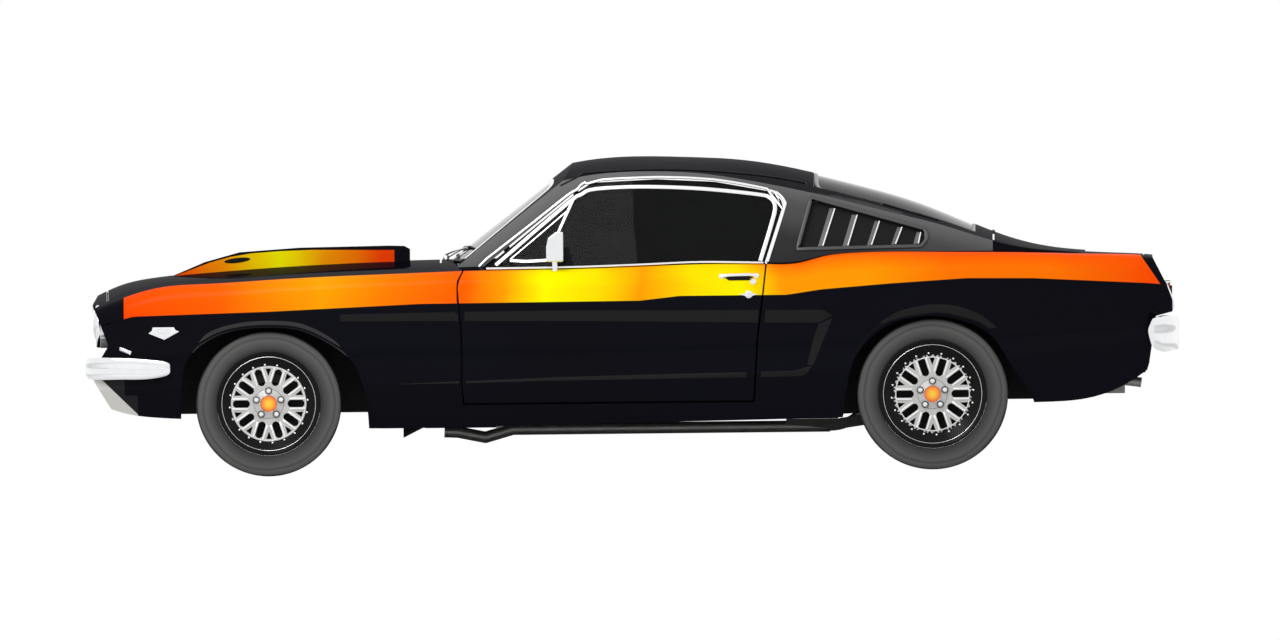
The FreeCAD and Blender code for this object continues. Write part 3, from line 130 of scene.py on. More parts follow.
def turned(profile, centre, axis=(0.0, -1.0, 0.0), count=64):
    """A profile of (radius, along) turned about an axis: centre + along * axis + radius * (cos a * e1 + sin a *
    e2)."""
    profile = np.asarray(profile, float)
    axis = np.asarray(axis, float) / np.linalg.norm(axis)
    first = np.cross(axis, (0.0, 0.0, 1.0) if abs(axis[2]) < 0.9 else (1.0, 0.0, 0.0))
    first /= np.linalg.norm(first)
    second = np.cross(axis, first)
    angle = np.linspace(0, 2 * np.pi, count, endpoint=False)[:, None, None]
    radius, along = profile[None, :, 0, None], profile[None, :, 1, None]
    points = np.asarray(centre, float) + along * axis + radius * (np.cos(angle) * first + np.sin(angle) * second)
    return grid(points, wrap_u=True)


def smooth(points, steps=6):
    """A curve through the points: on each span, half the sum of the four weights of t, t squared and t cubed."""
    p = np.asarray(points, float)
    p = np.vstack([2 * p[0] - p[1], p, 2 * p[-1] - p[-2]])
    t = np.linspace(0, 1, steps, endpoint=False)[None, :, None]
    a, b, c, d = (p[k:len(p) - 3 + k][:, None, :] for k in range(4))
    curve = 0.5 * (2 * b + (c - a) * t + (2 * a - 5 * b + 4 * c - d) * t ** 2 + (3 * b - a - 3 * c + d) * t ** 3)
    return np.vstack([curve.reshape(-1, p.shape[1]), p[-2]])


def oval(half_width, half_height, power=1.0, count=16):
    """A closed outline: width and height times cosine and sine, each raised to a power that squares the corners."""
    angle = np.linspace(0, 2 * np.pi, count, endpoint=False) + np.pi / count
    c, s = np.cos(angle), np.sin(angle)
    return np.stack([half_width * np.sign(c) * np.abs(c) ** power, half_height * np.sign(s) * np.abs(s) ** power], -1)


def capped(rings):
    """A row of rings as a grid, with each end drawn together to its mean point."""
    first, last = (rings[[k]].mean(1, keepdims=True).repeat(rings.shape[1], 1) for k in (0, -1))
    return grid(np.concatenate([first, rings, last]), wrap_v=True)


def carried(path, outline, up, closed=False):
    """An outline carried along a path: its second axis follows up, and its first is square to up and to the path."""
    path, outline = np.asarray(path, float), np.asarray(outline, float)
    ahead = np.roll(path, -1, 0) - np.roll(path, 1, 0) if closed else np.gradient(path, axis=0)
    ahead /= np.linalg.norm(ahead, axis=1, keepdims=True)
    across = np.cross(ahead, np.broadcast_to(np.asarray(up, float), path.shape))
    across /= np.linalg.norm(across, axis=1, keepdims=True)
    tall = np.cross(across, ahead)
    rings = path[:, None] + outline[None, :, :1] * across[:, None] + outline[None, :, 1:] * tall[:, None]
    return grid(rings, wrap_u=True, wrap_v=True) if closed else capped(rings)


def plate(outline, centre, u, v, thickness, crown=0.0, rings=5):
    """A thin plate: the outline shrinks to its middle in rings, and each ring rises by crown * (1 - share
    squared)."""
    outline = np.asarray(outline, float)
    u, v = np.asarray(u, float), np.asarray(v, float)
    out = np.cross(u, v)
    share = np.linspace(0, 1, rings)
    middle = outline.mean(0)
    front, back = [], []
    for s in share:
        flat_ring = middle + (outline - middle) * s
        place = np.asarray(centre, float) + flat_ring[:, :1] * u + flat_ring[:, 1:] * v
        front.append(place + out * (thickness + crown * (1 - s * s)))
        back.append(place)
    return grid(np.array(front + back[::-1]), wrap_v=True)


def tangent_sides(normal):
    """Two unit ways in the plane that is square to a normal, the first level and the second upwards."""
    normal = np.asarray(normal, float) / np.linalg.norm(normal)
    level = np.cross((0.0, 0.0, 1.0), normal)
    level /= np.linalg.norm(level)
    return level, np.cross(normal, level)


def steadied(ways, reach=3):
    """Each way out becomes the mean of its neighbours' ways, so that a strip laid along them doesn't waver."""
    ways = np.array(ways)
    if len(ways) < 5:
        return ways
    padded = np.pad(ways, ((reach, reach), (0, 0)), mode="edge")
    mean = sum(padded[k:k + len(ways)] for k in range(2 * reach + 1))
    return mean / np.linalg.norm(mean, axis=1, keepdims=True)


TREES = {}


def skin(nodes):
    """The outer surface of some nodes, kept so that it is read once."""
    if nodes not in TREES:
        points, faces, start = [], [], 0
        for name in nodes:
            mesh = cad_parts[name].data
            points += [v.co.copy() for v in mesh.vertices]
            faces += [[k + start for k in p.vertices] for p in mesh.polygons]
            start = len(points)
        TREES[nodes] = BVHTree.FromPolygons(points, faces)
    return TREES[nodes]


def cast(nodes, starts, way, spots, lift):
    """Where rays meet the nodes, or else the place nearest to each spot, with the surface's own way out at each."""
    tree = skin(nodes)
    places, ways = [], []
    for start, spot in zip(starts, spots):
        hit, normal = tree.ray_cast(Vector(start), way)[:2]
        if hit is None:
            hit, normal = tree.find_nearest(Vector(spot))[:2]
        places.append(np.array(hit))
        ways.append(np.array(-normal if normal.dot(way) > 0 else normal))
    ways = steadied(ways)
    return np.array(places) + ways * lift, ways


def laid(nodes, outline, side, lift=0.0):
    """Points of the side view dropped on the nodes from outside."""
    return cast(nodes, [(x, side * 2, z) for x, z in outline], Vector((0, -side, 0)),
                [(x, side * 0.8, z) for x, z in outline], lift)


def dropped(nodes, points, way, lift=0.0):
    """Points dropped on the nodes along a way."""
    way = Vector(way).normalized()
    return cast(nodes, [Vector(point) - way * 2 for point in points], way, points, lift)


def moulding(nodes, line, side, steps, lift, outline):
    """A moulding laid on the nodes along a line of the side view."""
    path, ways = laid(nodes, smooth(line, steps), side, lift)
    return carried(path, outline, ways)


def piece(name, parts, look, body, flat=False, values=None):
    """One object of several grids, welded, turned outwards, and set to ride on its body."""
    points, faces = joined(parts)
    mesh = bpy.data.meshes.new(name)
    mesh.from_pydata(points.tolist(), [], faces.tolist())
    for key, numbers in (values or {}).items():
        mesh.attributes.new(key, "FLOAT", "POINT").data.foreach_set("value", np.asarray(numbers, np.float32))
    work = bmesh.new()
    work.from_mesh(mesh)
    bmesh.ops.remove_doubles(work, verts=work.verts, dist=WELD)
    bmesh.ops.dissolve_degenerate(work, edges=work.edges, dist=WELD / 20)
    bmesh.ops.recalc_face_normals(work, faces=work.faces)
    work.to_mesh(mesh)
    work.free()
    mesh.polygons.foreach_set("use_smooth", np.full(len(mesh.polygons), not flat))
    if not flat:
        mesh.set_sharp_from_angle(angle=SHARP)
    thing = bpy.data.objects.new(name, mesh)
    bpy.context.scene.collection.objects.link(thing)
    mesh.materials.append(finish(look))
    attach(thing, body)
    return thing


# Finishes

class Finish:
    """A node tree that is put together step by step, ending in one surface shader."""

    def __init__(self, name, **sockets):
        self.material = bpy.data.materials.new(name)
        self.material.use_nodes = True
        self.tree = self.material.node_tree
        self.shader = self.tree.nodes["Principled BSDF"]
        for key, value in sockets.items():
            self.shader.inputs[key.replace("_", " ")].default_value = value
        self.coords = self.tree.nodes.new("ShaderNodeTexCoord").outputs["Object"]

    def node(self, kind, values=(), links=(), **settings):
        made = self.tree.nodes.new(kind)
        for key, value in settings.items():
            setattr(made, key, value)
        for key, value in values:
            made.inputs[key].default_value = value
        for key, socket in links:
            self.tree.links.new(socket, made.inputs[key])
        return made

    def sum(self, operation, *items):
        """Arithmetic on numbers and sockets."""
        made = self.node("ShaderNodeMath", operation=operation)
        for socket, item in zip(made.inputs, items):
            if isinstance(item, (int, float)):
                socket.default_value = item
            else:
                self.tree.links.new(item, socket)
        return made.outputs[0]

    def less(self, first, second):
        return self.sum("SUBTRACT", first, second)

    def least(self, first, *others):
        for other in others:
            first = self.sum("MINIMUM", first, other)
        return first

    def spread(self, value, low, high):
        """0 at low to 1 at high."""
        return self.node("ShaderNodeMapRange", links=[("Value", value)],
                         values=[("From Min", low), ("From Max", high)]).outputs[0]

    def noise(self, scale, detail=3.0, rough=0.5, stretch=None):
        source = self.coords
        if stretch:
            source = self.node("ShaderNodeMapping", links=[("Vector", source)],
                               values=[("Scale", stretch)]).outputs[0]
        return self.node("ShaderNodeTexNoise", links=[("Vector", source)],
                         values=[("Scale", scale), ("Detail", detail), ("Roughness", rough)]).outputs["Fac"]

    def wander(self, value, noise, amount):
        """A value that noise moves up and down by half the amount."""
        return self.sum("MULTIPLY_ADD", self.less(noise, 0.5), amount, value)

    def share(self):
        """The piece's own attribute: each point's share of the outer radius."""
        return self.node("ShaderNodeAttribute", attribute_name="reach").outputs["Fac"]

    def ramp(self, factor, stops, eased=False):
        """Colours at stops; a bare number stands for a grey."""
        made = self.node("ShaderNodeValToRGB", links=[("Fac", factor)])
        if eased:
            made.color_ramp.interpolation = "EASE"
        elements = made.color_ramp.elements
        while len(elements) < len(stops):
            elements.new(0.5)
        for element, (place, colour) in zip(elements, stops):
            element.position = place
            element.color = (colour if isinstance(colour, tuple) else (colour,) * 3) + (1.0,)
        return made.outputs[0]

    def mix(self, factor, first, second):
        made = self.node("ShaderNodeMix", data_type="RGBA")
        for key, item in (("Factor", factor), ("A", first), ("B", second)):
            socket = [s for s in made.inputs if s.name == key and s.enabled][0]
            if hasattr(item, "links"):
                self.tree.links.new(item, socket)
            else:
                socket.default_value = item + (1.0,)
        return [s for s in made.outputs if s.enabled][0]

    def curve(self, value, outline, low=-REACH, high=REACH):
        """A height for each place along the car: the value runs from low to high, and the curve gives the rest."""
        made = self.node("ShaderNodeFloatCurve", links=[("Value", self.spread(value, low, high))])
        line = made.mapping.curves[0]
        inside = [(x, z) for x, z in outline if low <= x <= high]
        while len(line.points) < len(inside):
            line.points.new(0.5, 0.5)
        for point, (x, z) in zip(line.points, inside):
            point.location = ((x - low) / (high - low), z / CURVE_TOP)
            point.handle_type = "VECTOR"
        made.mapping.update()
        return self.sum("MULTIPLY", made.outputs[0], CURVE_TOP)

    def place(self):
        return self.node("ShaderNodeSeparateXYZ", links=[("Vector", self.coords)]).outputs

    def colour(self, socket):
        self.tree.links.new(socket, self.shader.inputs["Base Color"])

    def rough(self, factor, low, high):
        span = self.node("ShaderNodeMapRange", links=[("Value", factor)], values=[("To Min", low), ("To Max", high)])
        self.tree.links.new(span.outputs[0], self.shader.inputs["Roughness"])

    def bump(self, height, distance, strength=1.0):
        made = self.node("ShaderNodeBump", links=[("Height", height)],
                         values=[("Distance", distance), ("Strength", strength)])
        self.tree.links.new(made.outputs[0], self.shader.inputs["Normal"])


BLACK = (0.0022, 0.0022, 0.0032)
NAVY = (0.0035, 0.0036, 0.0085)
RED_ORANGE = (1.0, 0.058, 0.0)
ORANGE = (1.0, 0.185, 0.0)
DEEP_ORANGE = (1.0, 0.11, 0.0)
AMBER = (1.0, 0.34, 0.0)
YELLOW = (1.0, 0.74, 0.0)
BRIGHT = (1.0, 0.93, 0.0)


BAND_STOPS = (
    (0.030, RED_ORANGE), (0.120, DEEP_ORANGE), (0.215, AMBER), (0.280, ORANGE), (0.345, DEEP_ORANGE), (0.385, AMBER),
    (0.420, BRIGHT), (0.470, YELLOW), (0.510, AMBER), (0.555, YELLOW), (0.600, BRIGHT), (0.640, AMBER),
    (0.720, AMBER), (0.790, ORANGE), (0.880, ORANGE), (0.950, DEEP_ORANGE), (0.985, RED_ORANGE))
SCOOP_STOPS = (
    (0.081, RED_ORANGE), (0.104, ORANGE), (0.134, AMBER), (0.163, YELLOW), (0.179, BRIGHT), (0.195, YELLOW),
    (0.218, AMBER), (0.246, ORANGE), (0.268, RED_ORANGE))
# The sail's painted highlight: grey at the drip, darker lower down
SAIL_HIGHLIGHT_STOPS = ((0.0, (0.145, 0.145, 0.148)), (0.45, (0.075, 0.075, 0.078)), (0.9, (0.032, 0.032, 0.034)))
PAINT_EDGE = 0.0006


def black_paint(made):
    """Near-black lacquer: two blacks mixed by slow noise."""
    return made.mix(made.noise(1.3, 2.0), BLACK, NAVY)


def painted(name):
    """Gloss lacquer. The band lies between two curves of the side view, and its colours run along the car; on the
    sail a painted highlight fades down from the drip.
    """
    made = Finish(name, Roughness=0.30, Specular_IOR_Level=0.0, Coat_Weight=0.08, Coat_Roughness=0.05)
    x, y, z = made.place()
    shade = black_paint(made)
    if name in ("band_paint", "scoop_paint"):
        length = made.spread(x, -REACH, REACH)
        drift = made.noise(2.2, 3.0, 0.55, stretch=(1.0, 0.0, 3.0))
        moved = made.sum("ADD", length, made.sum("MULTIPLY", made.less(drift, 0.5), 0.035))
    if name == "band_paint":
        top, low = made.curve(x, BELT), made.curve(x, BAND_LOW)
        height = made.sum("DIVIDE", made.less(z, low), made.less(top, low))
        along = made.ramp(length, [(0.0, 0.0), (0.55, 0.0), (0.66, 1.0), (0.90, 1.0), (1.0, 0.0)])
        glow = made.ramp(height, [(0.0, 0.0), (0.45, 0.1), (1.0, 1.0)])
        amount = made.sum("MULTIPLY", made.sum("MULTIPLY", along, glow), 0.8)
        flame = made.mix(amount, made.ramp(moved, BAND_STOPS), RED_ORANGE)
        tail = made.less(made.sum("MULTIPLY_ADD", made.less(0.864, z), 0.67, 2.112), x)
        nose = made.sum("MULTIPLY_ADD", made.less(z, 0.732), 0.15, made.sum("ADD", x, 2.126))
        ridge = made.less(made.curve(x, HALF_WIDTH), 0.066)
        inside = made.least(made.less(top, made.less(z, 0.004)), made.less(z, low), tail, nose,
                            made.less(made.sum("ABSOLUTE", y), ridge))
        shade = made.mix(made.spread(inside, -PAINT_EDGE, PAINT_EDGE), shade, flame)
    if name == "scoop_paint":
        rim = made.least(made.less(made.curve(x, SCOOP_EDGE, -1.93, -0.90), z), made.less(-0.979, x))
        shade = made.mix(made.spread(rim, -PAINT_EDGE, PAINT_EDGE), shade, made.ramp(moved, SCOOP_STOPS))
    if name == "sail_painted_highlight":
        # Painted highlight on the sail: grey at the drip, fading darker below it
        under = made.less(made.curve(x, DRIP, -0.76, REACH), z)
        shade = made.ramp(made.sum("MULTIPLY", under, 3.4), SAIL_HIGHLIGHT_STOPS, eased=True)
    made.colour(shade)
    made.rough(made.noise(6.0, 4.0), 0.25, 0.40)
    made.bump(made.noise(420.0, 1.0), 0.00004, 0.35)
    return made.material


# Two shades, roughness from low to high, scale of the noise, height of the grain, metal and specular level
PLAIN = {
    "inner_paint": ((0.006, 0.006, 0.007), (0.012, 0.012, 0.013), 0.4, 0.6, 30.0, 0.0001, 0.0, 0.12),
    "chrome": ((0.80, 0.81, 0.82), (0.90, 0.91, 0.92), 0.05, 0.14, 18.0, 0.0, 1.0, 0.5),
    "bright_trim": ((0.86, 0.86, 0.87), (0.95, 0.95, 0.96), 0.16, 0.26, 60.0, 0.0, 0.85, 0.5),
    "wheel_silver": ((0.50, 0.495, 0.485), (0.60, 0.595, 0.585), 0.35, 0.5, 90.0, 0.00005, 0.45, 0.5),
    "spoke_bright": ((0.84, 0.84, 0.83), (0.95, 0.95, 0.94), 0.25, 0.38, 90.0, 0.0, 0.3, 0.5),
    "lip_black": ((0.002, 0.002, 0.002), (0.005, 0.005, 0.005), 0.18, 0.30, 40.0, 0.0, 0.0, 0.12),
    "satin_black": ((0.006, 0.006, 0.007), (0.013, 0.013, 0.014), 0.42, 0.62, 80.0, 0.0002, 0.0, 0.12),
    "seal_rubber": ((0.002, 0.002, 0.002), (0.005, 0.005, 0.005), 0.7, 0.9, 150.0, 0.0002, 0.0, 0.12),
    "textured_black": ((0.003, 0.003, 0.003), (0.020, 0.020, 0.020), 0.55, 0.8, 260.0, 0.0008, 0.0, 0.12),
    "graphite": ((0.060, 0.060, 0.062), (0.085, 0.085, 0.088), 0.25, 0.42, 25.0, 0.00005, 0.3, 0.5),
    "cast_iron": ((0.018, 0.018, 0.018), (0.045, 0.043, 0.040), 0.5, 0.8, 120.0, 0.0006, 0.4, 0.5),
    "dull_steel": ((0.20, 0.20, 0.20), (0.36, 0.35, 0.34), 0.32, 0.55, 30.0, 0.0002, 0.9, 0.5),
    # The next three are painted highlights: greys that stand in for light on the arch flares and on the side cove's
    # relief
    "flare_painted_highlight": ((0.026, 0.026, 0.027), (0.034, 0.034, 0.035), 0.35, 0.5, 12.0, 0.0, 0.0, 0.12),
    "cove_painted_highlight": ((0.0070, 0.0070, 0.0073), (0.0085, 0.0085, 0.0088), 0.35, 0.5, 12.0, 0.0, 0.0, 0.12),
    "dim_painted_highlight": ((0.0075, 0.0075, 0.008), (0.0095, 0.0095, 0.010), 0.35, 0.5, 12.0, 0.0, 0.0, 0.12),
    "cabin_grain": ((0.007, 0.007, 0.008), (0.016, 0.016, 0.017), 0.5, 0.7, 320.0, 0.0004, 0.0, 0.12),
    "carpet": ((0.004, 0.004, 0.004), (0.020, 0.020, 0.021), 0.9, 1.0, 700.0, 0.002, 0.0, 0.12),
    "gauge_face": ((0.004, 0.004, 0.005), (0.010, 0.010, 0.011), 0.3, 0.4, 90.0, 0.0, 0.0, 0.5),
    "gauge_mark": ((0.62, 0.62, 0.58), (0.74, 0.74, 0.70), 0.4, 0.5, 90.0, 0.0, 0.0, 0.5),
    "mirror_glass": ((0.86, 0.87, 0.88), (0.90, 0.91, 0.92), 0.01, 0.03, 20.0, 0.0, 1.0, 0.5),
}


def plain(name):
    """A finish of two close shades, a roughness and a grain that all follow one noise."""
    dark, light, low, high, scale, bump, metal, level = PLAIN[name]
    made = Finish(name, Metallic=metal, Specular_IOR_Level=level)
    cloud = made.noise(scale, 5.0, 0.55)
    made.colour(made.mix(cloud, dark, light))
    made.rough(made.noise(scale * 0.37, 4.0), low, high)
    if bump:
        made.bump(cloud, bump)
    return made.material


def rubber(name):
    """Tyre rubber: mid grey, with painted shade next to the rim and under the shoulder, by the share of the outer
    radius.
    """
    made = Finish(name, Roughness=0.75, Specular_IOR_Level=0.3)
    # Painted shade: darker next to the rim, under the shoulder and at the tread's edge
    made.colour(made.ramp(made.wander(made.share(), made.noise(7.0, 3.0), 0.05), [
        (0.70, 0.012), (0.735, 0.030), (0.80, (0.058, 0.058, 0.057)), (0.875, (0.092, 0.092, 0.091)),
        (0.915, (0.050, 0.052, 0.049)), (0.925, (0.092, 0.092, 0.091)), (0.975, (0.085, 0.085, 0.084)),
        (0.992, 0.020)]))
    grain = made.noise(260.0, 4.0)
    made.rough(grain, 0.62, 0.86)
    made.bump(grain, 0.0002, 0.5)
    return made.material


def two_tone(name):
    """Silver ahead of a line that slopes back under the bumper, and black behind it."""
    made = Finish(name, Roughness=0.4, Specular_IOR_Level=0.2)
    x, _, z = made.place()
    ahead = made.less(made.sum("MULTIPLY_ADD", made.less(0.425, z), 1.02, -2.212), x)
    cloud = made.noise(4.0, 3.0)
    silver = made.mix(cloud, (0.50, 0.49, 0.47), (0.70, 0.69, 0.67))
    made.colour(made.mix(made.spread(ahead, -0.001, 0.001), black_paint(made), silver))
    made.rough(cloud, 0.3, 0.5)
    return made.material


# The way of the ribs, their scale and distortion, two shades of painted shade and highlight, roughness, height, metal
# and the coat's roughness
RIBBED = {
    "lamp_lens": ("Y", 28.0, 0.2, (0.62, 0.64, 0.66), (0.88, 0.90, 0.92), 0.10, 0.28, 0.0015, 0.55, 0.02),
    "red_lens": ("Z", 40.0, 0.1, (0.20, 0.004, 0.004), (0.55, 0.015, 0.012), 0.15, 0.3, 0.001, 0.0, 0.03),
}


def ribbed(name):
    """Lamp glass, fluted by a wave across the car in front and up the car behind, with painted shade and highlight on
    the ribs.
    """
    way, scale, stray, dark, light, low, high, height, metal, coat = RIBBED[name]
    made = Finish(name, Metallic=metal, Coat_Weight=0.8, Coat_Roughness=coat)
    ribs = made.node("ShaderNodeTexWave", links=[("Vector", made.coords)], wave_type="BANDS", bands_direction=way,
                     values=[("Scale", scale), ("Distortion", stray)]).outputs["Fac"]
    # The ribs' two shades are painted shade and highlight
    made.colour(made.mix(ribs, dark, light))
    made.rough(ribs, low, high)
    made.bump(ribs, height, 0.5)
    return made.material


def cap_enamel(name):
    """Centre cap: yellow in the middle to orange at the edge, by the share of its radius."""
    made = Finish(name, Roughness=0.25, Coat_Weight=0.5, Coat_Roughness=0.05)
    made.colour(made.ramp(made.wander(made.share(), made.noise(60.0, 2.0), 0.12), [
        (0.0, (1.0, 0.68, 0.02)), (0.40, (1.0, 0.50, 0.01)), (0.85, (1.0, 0.19, 0.0)), (1.0, (0.55, 0.09, 0.0))]))
    made.bump(made.noise(500.0, 2.0), 0.00005, 0.4)
    return made.material


def honeycomb(_):
    """Honeycomb sheet: hexagon-like cells between dark wires, from a cell texture's distance to its edges."""
    made = Finish("honeycomb_sheet", Roughness=0.5, Metallic=0.6)
    cells = made.node("ShaderNodeTexVoronoi", links=[("Vector", made.coords)], feature="DISTANCE_TO_EDGE",
                      values=[("Scale", 55.0), ("Randomness", 0.0)]).outputs["Distance"]
    made.colour(made.ramp(cells, [(0.0, (0.22, 0.22, 0.23)), (0.12, 0.10), (0.2, 0.004)]))
    made.bump(cells, 0.004, 0.8)
    return made.material


# Tint and index of refraction
GLASS = {"dark_glass": ((0.085, 0.087, 0.090), 1.12), "rear_glass": ((0.040, 0.041, 0.042), 1.06)}


def glazed(name):
    """Tinted glass with a faint smear in its roughness."""
    tint, bend = GLASS[name]
    made = Finish(name, Transmission_Weight=1.0, IOR=bend)
    made.colour(made.mix(made.noise(3.0, 2.0), tint, tuple(t * 0.92 for t in tint)))
    made.rough(made.noise(9.0, 3.0), 0.0, 0.006)
    return made.material


def vinyl(name):
    """Black seat cover with fine grain from a cell texture."""
    made = Finish(name, Roughness=0.5, Sheen_Weight=0.1)
    grain = made.node("ShaderNodeTexVoronoi", links=[("Vector", made.coords)], values=[("Scale", 420.0)])
    cloud = made.noise(12.0, 4.0)
    made.colour(made.mix(cloud, (0.010, 0.010, 0.011), (0.020, 0.020, 0.021)))
    made.rough(cloud, 0.38, 0.58)
    made.bump(grain.outputs["Distance"], 0.0006, 0.5)
    return made.material


MAKERS = {
    "band_paint": painted, "black_paint": painted, "sail_painted_highlight": painted, "scoop_paint": painted,
    "dark_glass": glazed, "rear_glass": glazed, "lamp_lens": ribbed, "red_lens": ribbed,
    "two_tone_valance": two_tone, "honeycomb": honeycomb, "tyre_rubber": rubber, "cap_enamel": cap_enamel,
    "seat_vinyl": vinyl,
}
FINISHES = {}


def finish(name):
    """Each finish is made the first time a piece asks for it."""
    if name not in FINISHES:
        FINISHES[name] = MAKERS.get(name, plain)(name)
    return FINISHES[name]


def dress(node, *names, choose=None):
    """Gives a node its finishes; choose says which of them each face takes, from face centres and ways out."""
    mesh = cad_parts[node].data
    mesh.materials.clear()
    for name in names:
        mesh.materials.append(finish(name))
    count = len(mesh.polygons)
    index = np.zeros(count, np.int32)
    if choose:
        centres, normals = np.zeros(count * 3, np.float32), np.zeros(count * 3, np.float32)
        mesh.polygons.foreach_get("center", centres)
        mesh.polygons.foreach_get("normal", normals)
        index = choose(centres.reshape(-1, 3), normals.reshape(-1, 3)).astype(np.int32)
    mesh.polygons.foreach_set("material_index", index)


# Operators

class Step(bpy.types.Operator):
    """A step of the build"""
    bl_options = {"REGISTER", "UNDO"}

    def execute(self, context):
        self.build(context.scene.muscle_car)
        return {"FINISHED"}


class CAR_OT_finishes(Step):
    """Paint, plate, glaze and coat the parts that keep their own shape"""
    bl_idname = "muscle_car.finishes"
    bl_label = "Body Finishes"

    def build(self, sizes):
        def outer(centres, normals):
            shut = (np.abs(normals[:, 0]) > 0.75) & (np.abs(centres[:, 0]) < 0.78)
            return np.where(shut | (normals[:, 1] * np.sign(centres[:, 1]) < -0.15), 1, 0)

        for node in ("fender_left", "fender_right", "door_left", "door_right", "quarter_left", "quarter_right"):
            dress(node, "band_paint", "inner_paint", choose=outer)
        dress("tail_panel", "band_paint")
        dress("nose_panel", "black_paint")
        # Outward roof faces take the sail's painted highlight
        dress("roof", "black_paint", "satin_black", "sail_painted_highlight", choose=lambda c, n: np.where(
            (n[:, 2] < -0.35) | (n[:, 1] * np.sign(c[:, 1]) < -0.3), 1,
            np.where(n[:, 1] * np.sign(c[:, 1]) > 0.6, 2, 0)))

        def scoop(centres, normals):
            side = (np.abs(normals[:, 1]) > 0.45) & (np.abs(centres[:, 1]) < 0.30) & (centres[:, 0] < SCOOP_END)
            end = (normals[:, 0] > 0.6) & (centres[:, 0] > SCOOP_END) & (np.abs(centres[:, 1]) < 0.29)
            return np.where(end, 2, np.where(side & (centres[:, 2] > 0.80), 1, 0))

        dress("hood", "black_paint", "scoop_paint", "textured_black", choose=scoop)
        dress("deck_lid", "black_paint")
        dress("cowl", "black_paint")
        for node in ("front_bumper", "rear_bumper", "mirror"):
            dress(node, "chrome")
        dress("front_valance", "two_tone_valance")
        dress("grille", "honeycomb", "satin_black", choose=lambda c, n: np.where(np.abs(n[:, 0]) < 0.55, 1, 0))
        dress("headlamps", "lamp_lens")
        dress("tail_lamps", "red_lens")
        for node in ("windscreen", "door_glass_left", "door_glass_right"):
            dress(node, "dark_glass")
        dress("rear_window", "rear_glass")
        dress("quarter_louvres", "textured_black")
        for node in ("engine", "rear_axle", "leaf_springs", "propeller_shaft", "front_suspension", "knuckle_left",
                     "knuckle_right"):
            dress(node, "cast_iron")
        for node in ("exhaust", "fuel_tank"):
            dress(node, "dull_steel")
        for node in ("engine_bay", "steering_wheel", "dashboard"):
            dress(node, "satin_black")
        dress("floor_pan", "satin_black", "carpet", "black_paint", choose=lambda c, n: np.where(
            (n[:, 2] > 0.5) & (c[:, 0] > -0.7) & (c[:, 0] < 1.3), 1,
            np.where((np.abs(c[:, 1]) > 0.74) & (n[:, 1] * np.sign(c[:, 1]) > 0.3), 2, 0)))
        dress("seats", "seat_vinyl")
        for place, x, side in WHEELS:
            middle = 0.5 * (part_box("tyre_" + place)[1].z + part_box("tyre_" + place)[0].z)

            def zones(centres, normals, x=x, side=side, middle=middle):
                reach = np.hypot(centres[:, 0] - x, centres[:, 2] - middle)
                outward = centres[:, 1] * side - TRACK
                return np.where(reach > FACE_RADIUS, 1, np.where(outward < 0.01, 2, 0))

            dress("wheel_" + place, "wheel_silver", "lip_black", "inner_paint", choose=zones)


class CAR_OT_tyres(Step):
    """Tyres with a grooved tread and soft shoulders"""
    bl_idname = "muscle_car.tyres"
    bl_label = "Tyres"

    def build(self, sizes):
        for place, x, side in WHEELS:
            low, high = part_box("tyre_" + place)
            radius = (high.z - low.z) / 2
            half = (high.y - low.y) / 2
            flange = FLANGE[place.split("_")[0]]
            bulge = [(flange, -half * 0.93), (flange + 0.006, -half * 0.985), (flange + 0.022, -half),
                     (radius * 0.90, -half), (radius * 0.925, -half * 0.992), (radius * 0.95, -half * 0.985),
                     (radius * 0.975, -half * 0.955), (radius * 0.990, -half * 0.90), (radius * 0.997, -half * 0.84)]
            tread = [(radius * (1.0 - 0.003 * (k / 20) ** 2), half * 0.82 * k / 20) for k in range(-20, 21)]
            mirrored = [(r, -y) for r, y in bulge[::-1]]
            profile = np.array(bulge + tread + mirrored + [(flange, half * 0.5), (flange, -half * 0.5)])
            count = 288
            points, faces = turned(profile, (x, side * TRACK, radius), (0, side, 0), count)
            rings = points.reshape(count, len(profile), 3)
            angle = np.arange(count)[:, None]
            across = profile[None, :, 1] / half
            on_tread = profile[None, :, 0] > radius * 0.994
            slots = (angle + np.where(across < 0, 3, 0) + np.round(np.abs(across) * 5)) % 6 < 1
            grooves = np.minimum.reduce([np.abs(np.abs(across) - spot) for spot in (0.18, 0.50)]) < 0.035
            depth = np.where(on_tread & (grooves | slots), sizes.tread_depth, 0.0)
            outward = rings - np.array((x, 0, radius))
            outward[..., 1] = 0
            outward /= np.linalg.norm(outward, axis=-1, keepdims=True)
            rings = rings - outward * depth[..., None]
            reach = np.hypot(rings[..., 0] - x, rings[..., 2] - radius) / radius
            made = piece("tread_" + place, [grid(rings, True, True)], "tyre_rubber", place + "_wheel",
                         values={"reach": reach.reshape(-1)})
            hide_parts("tyre_" + place)


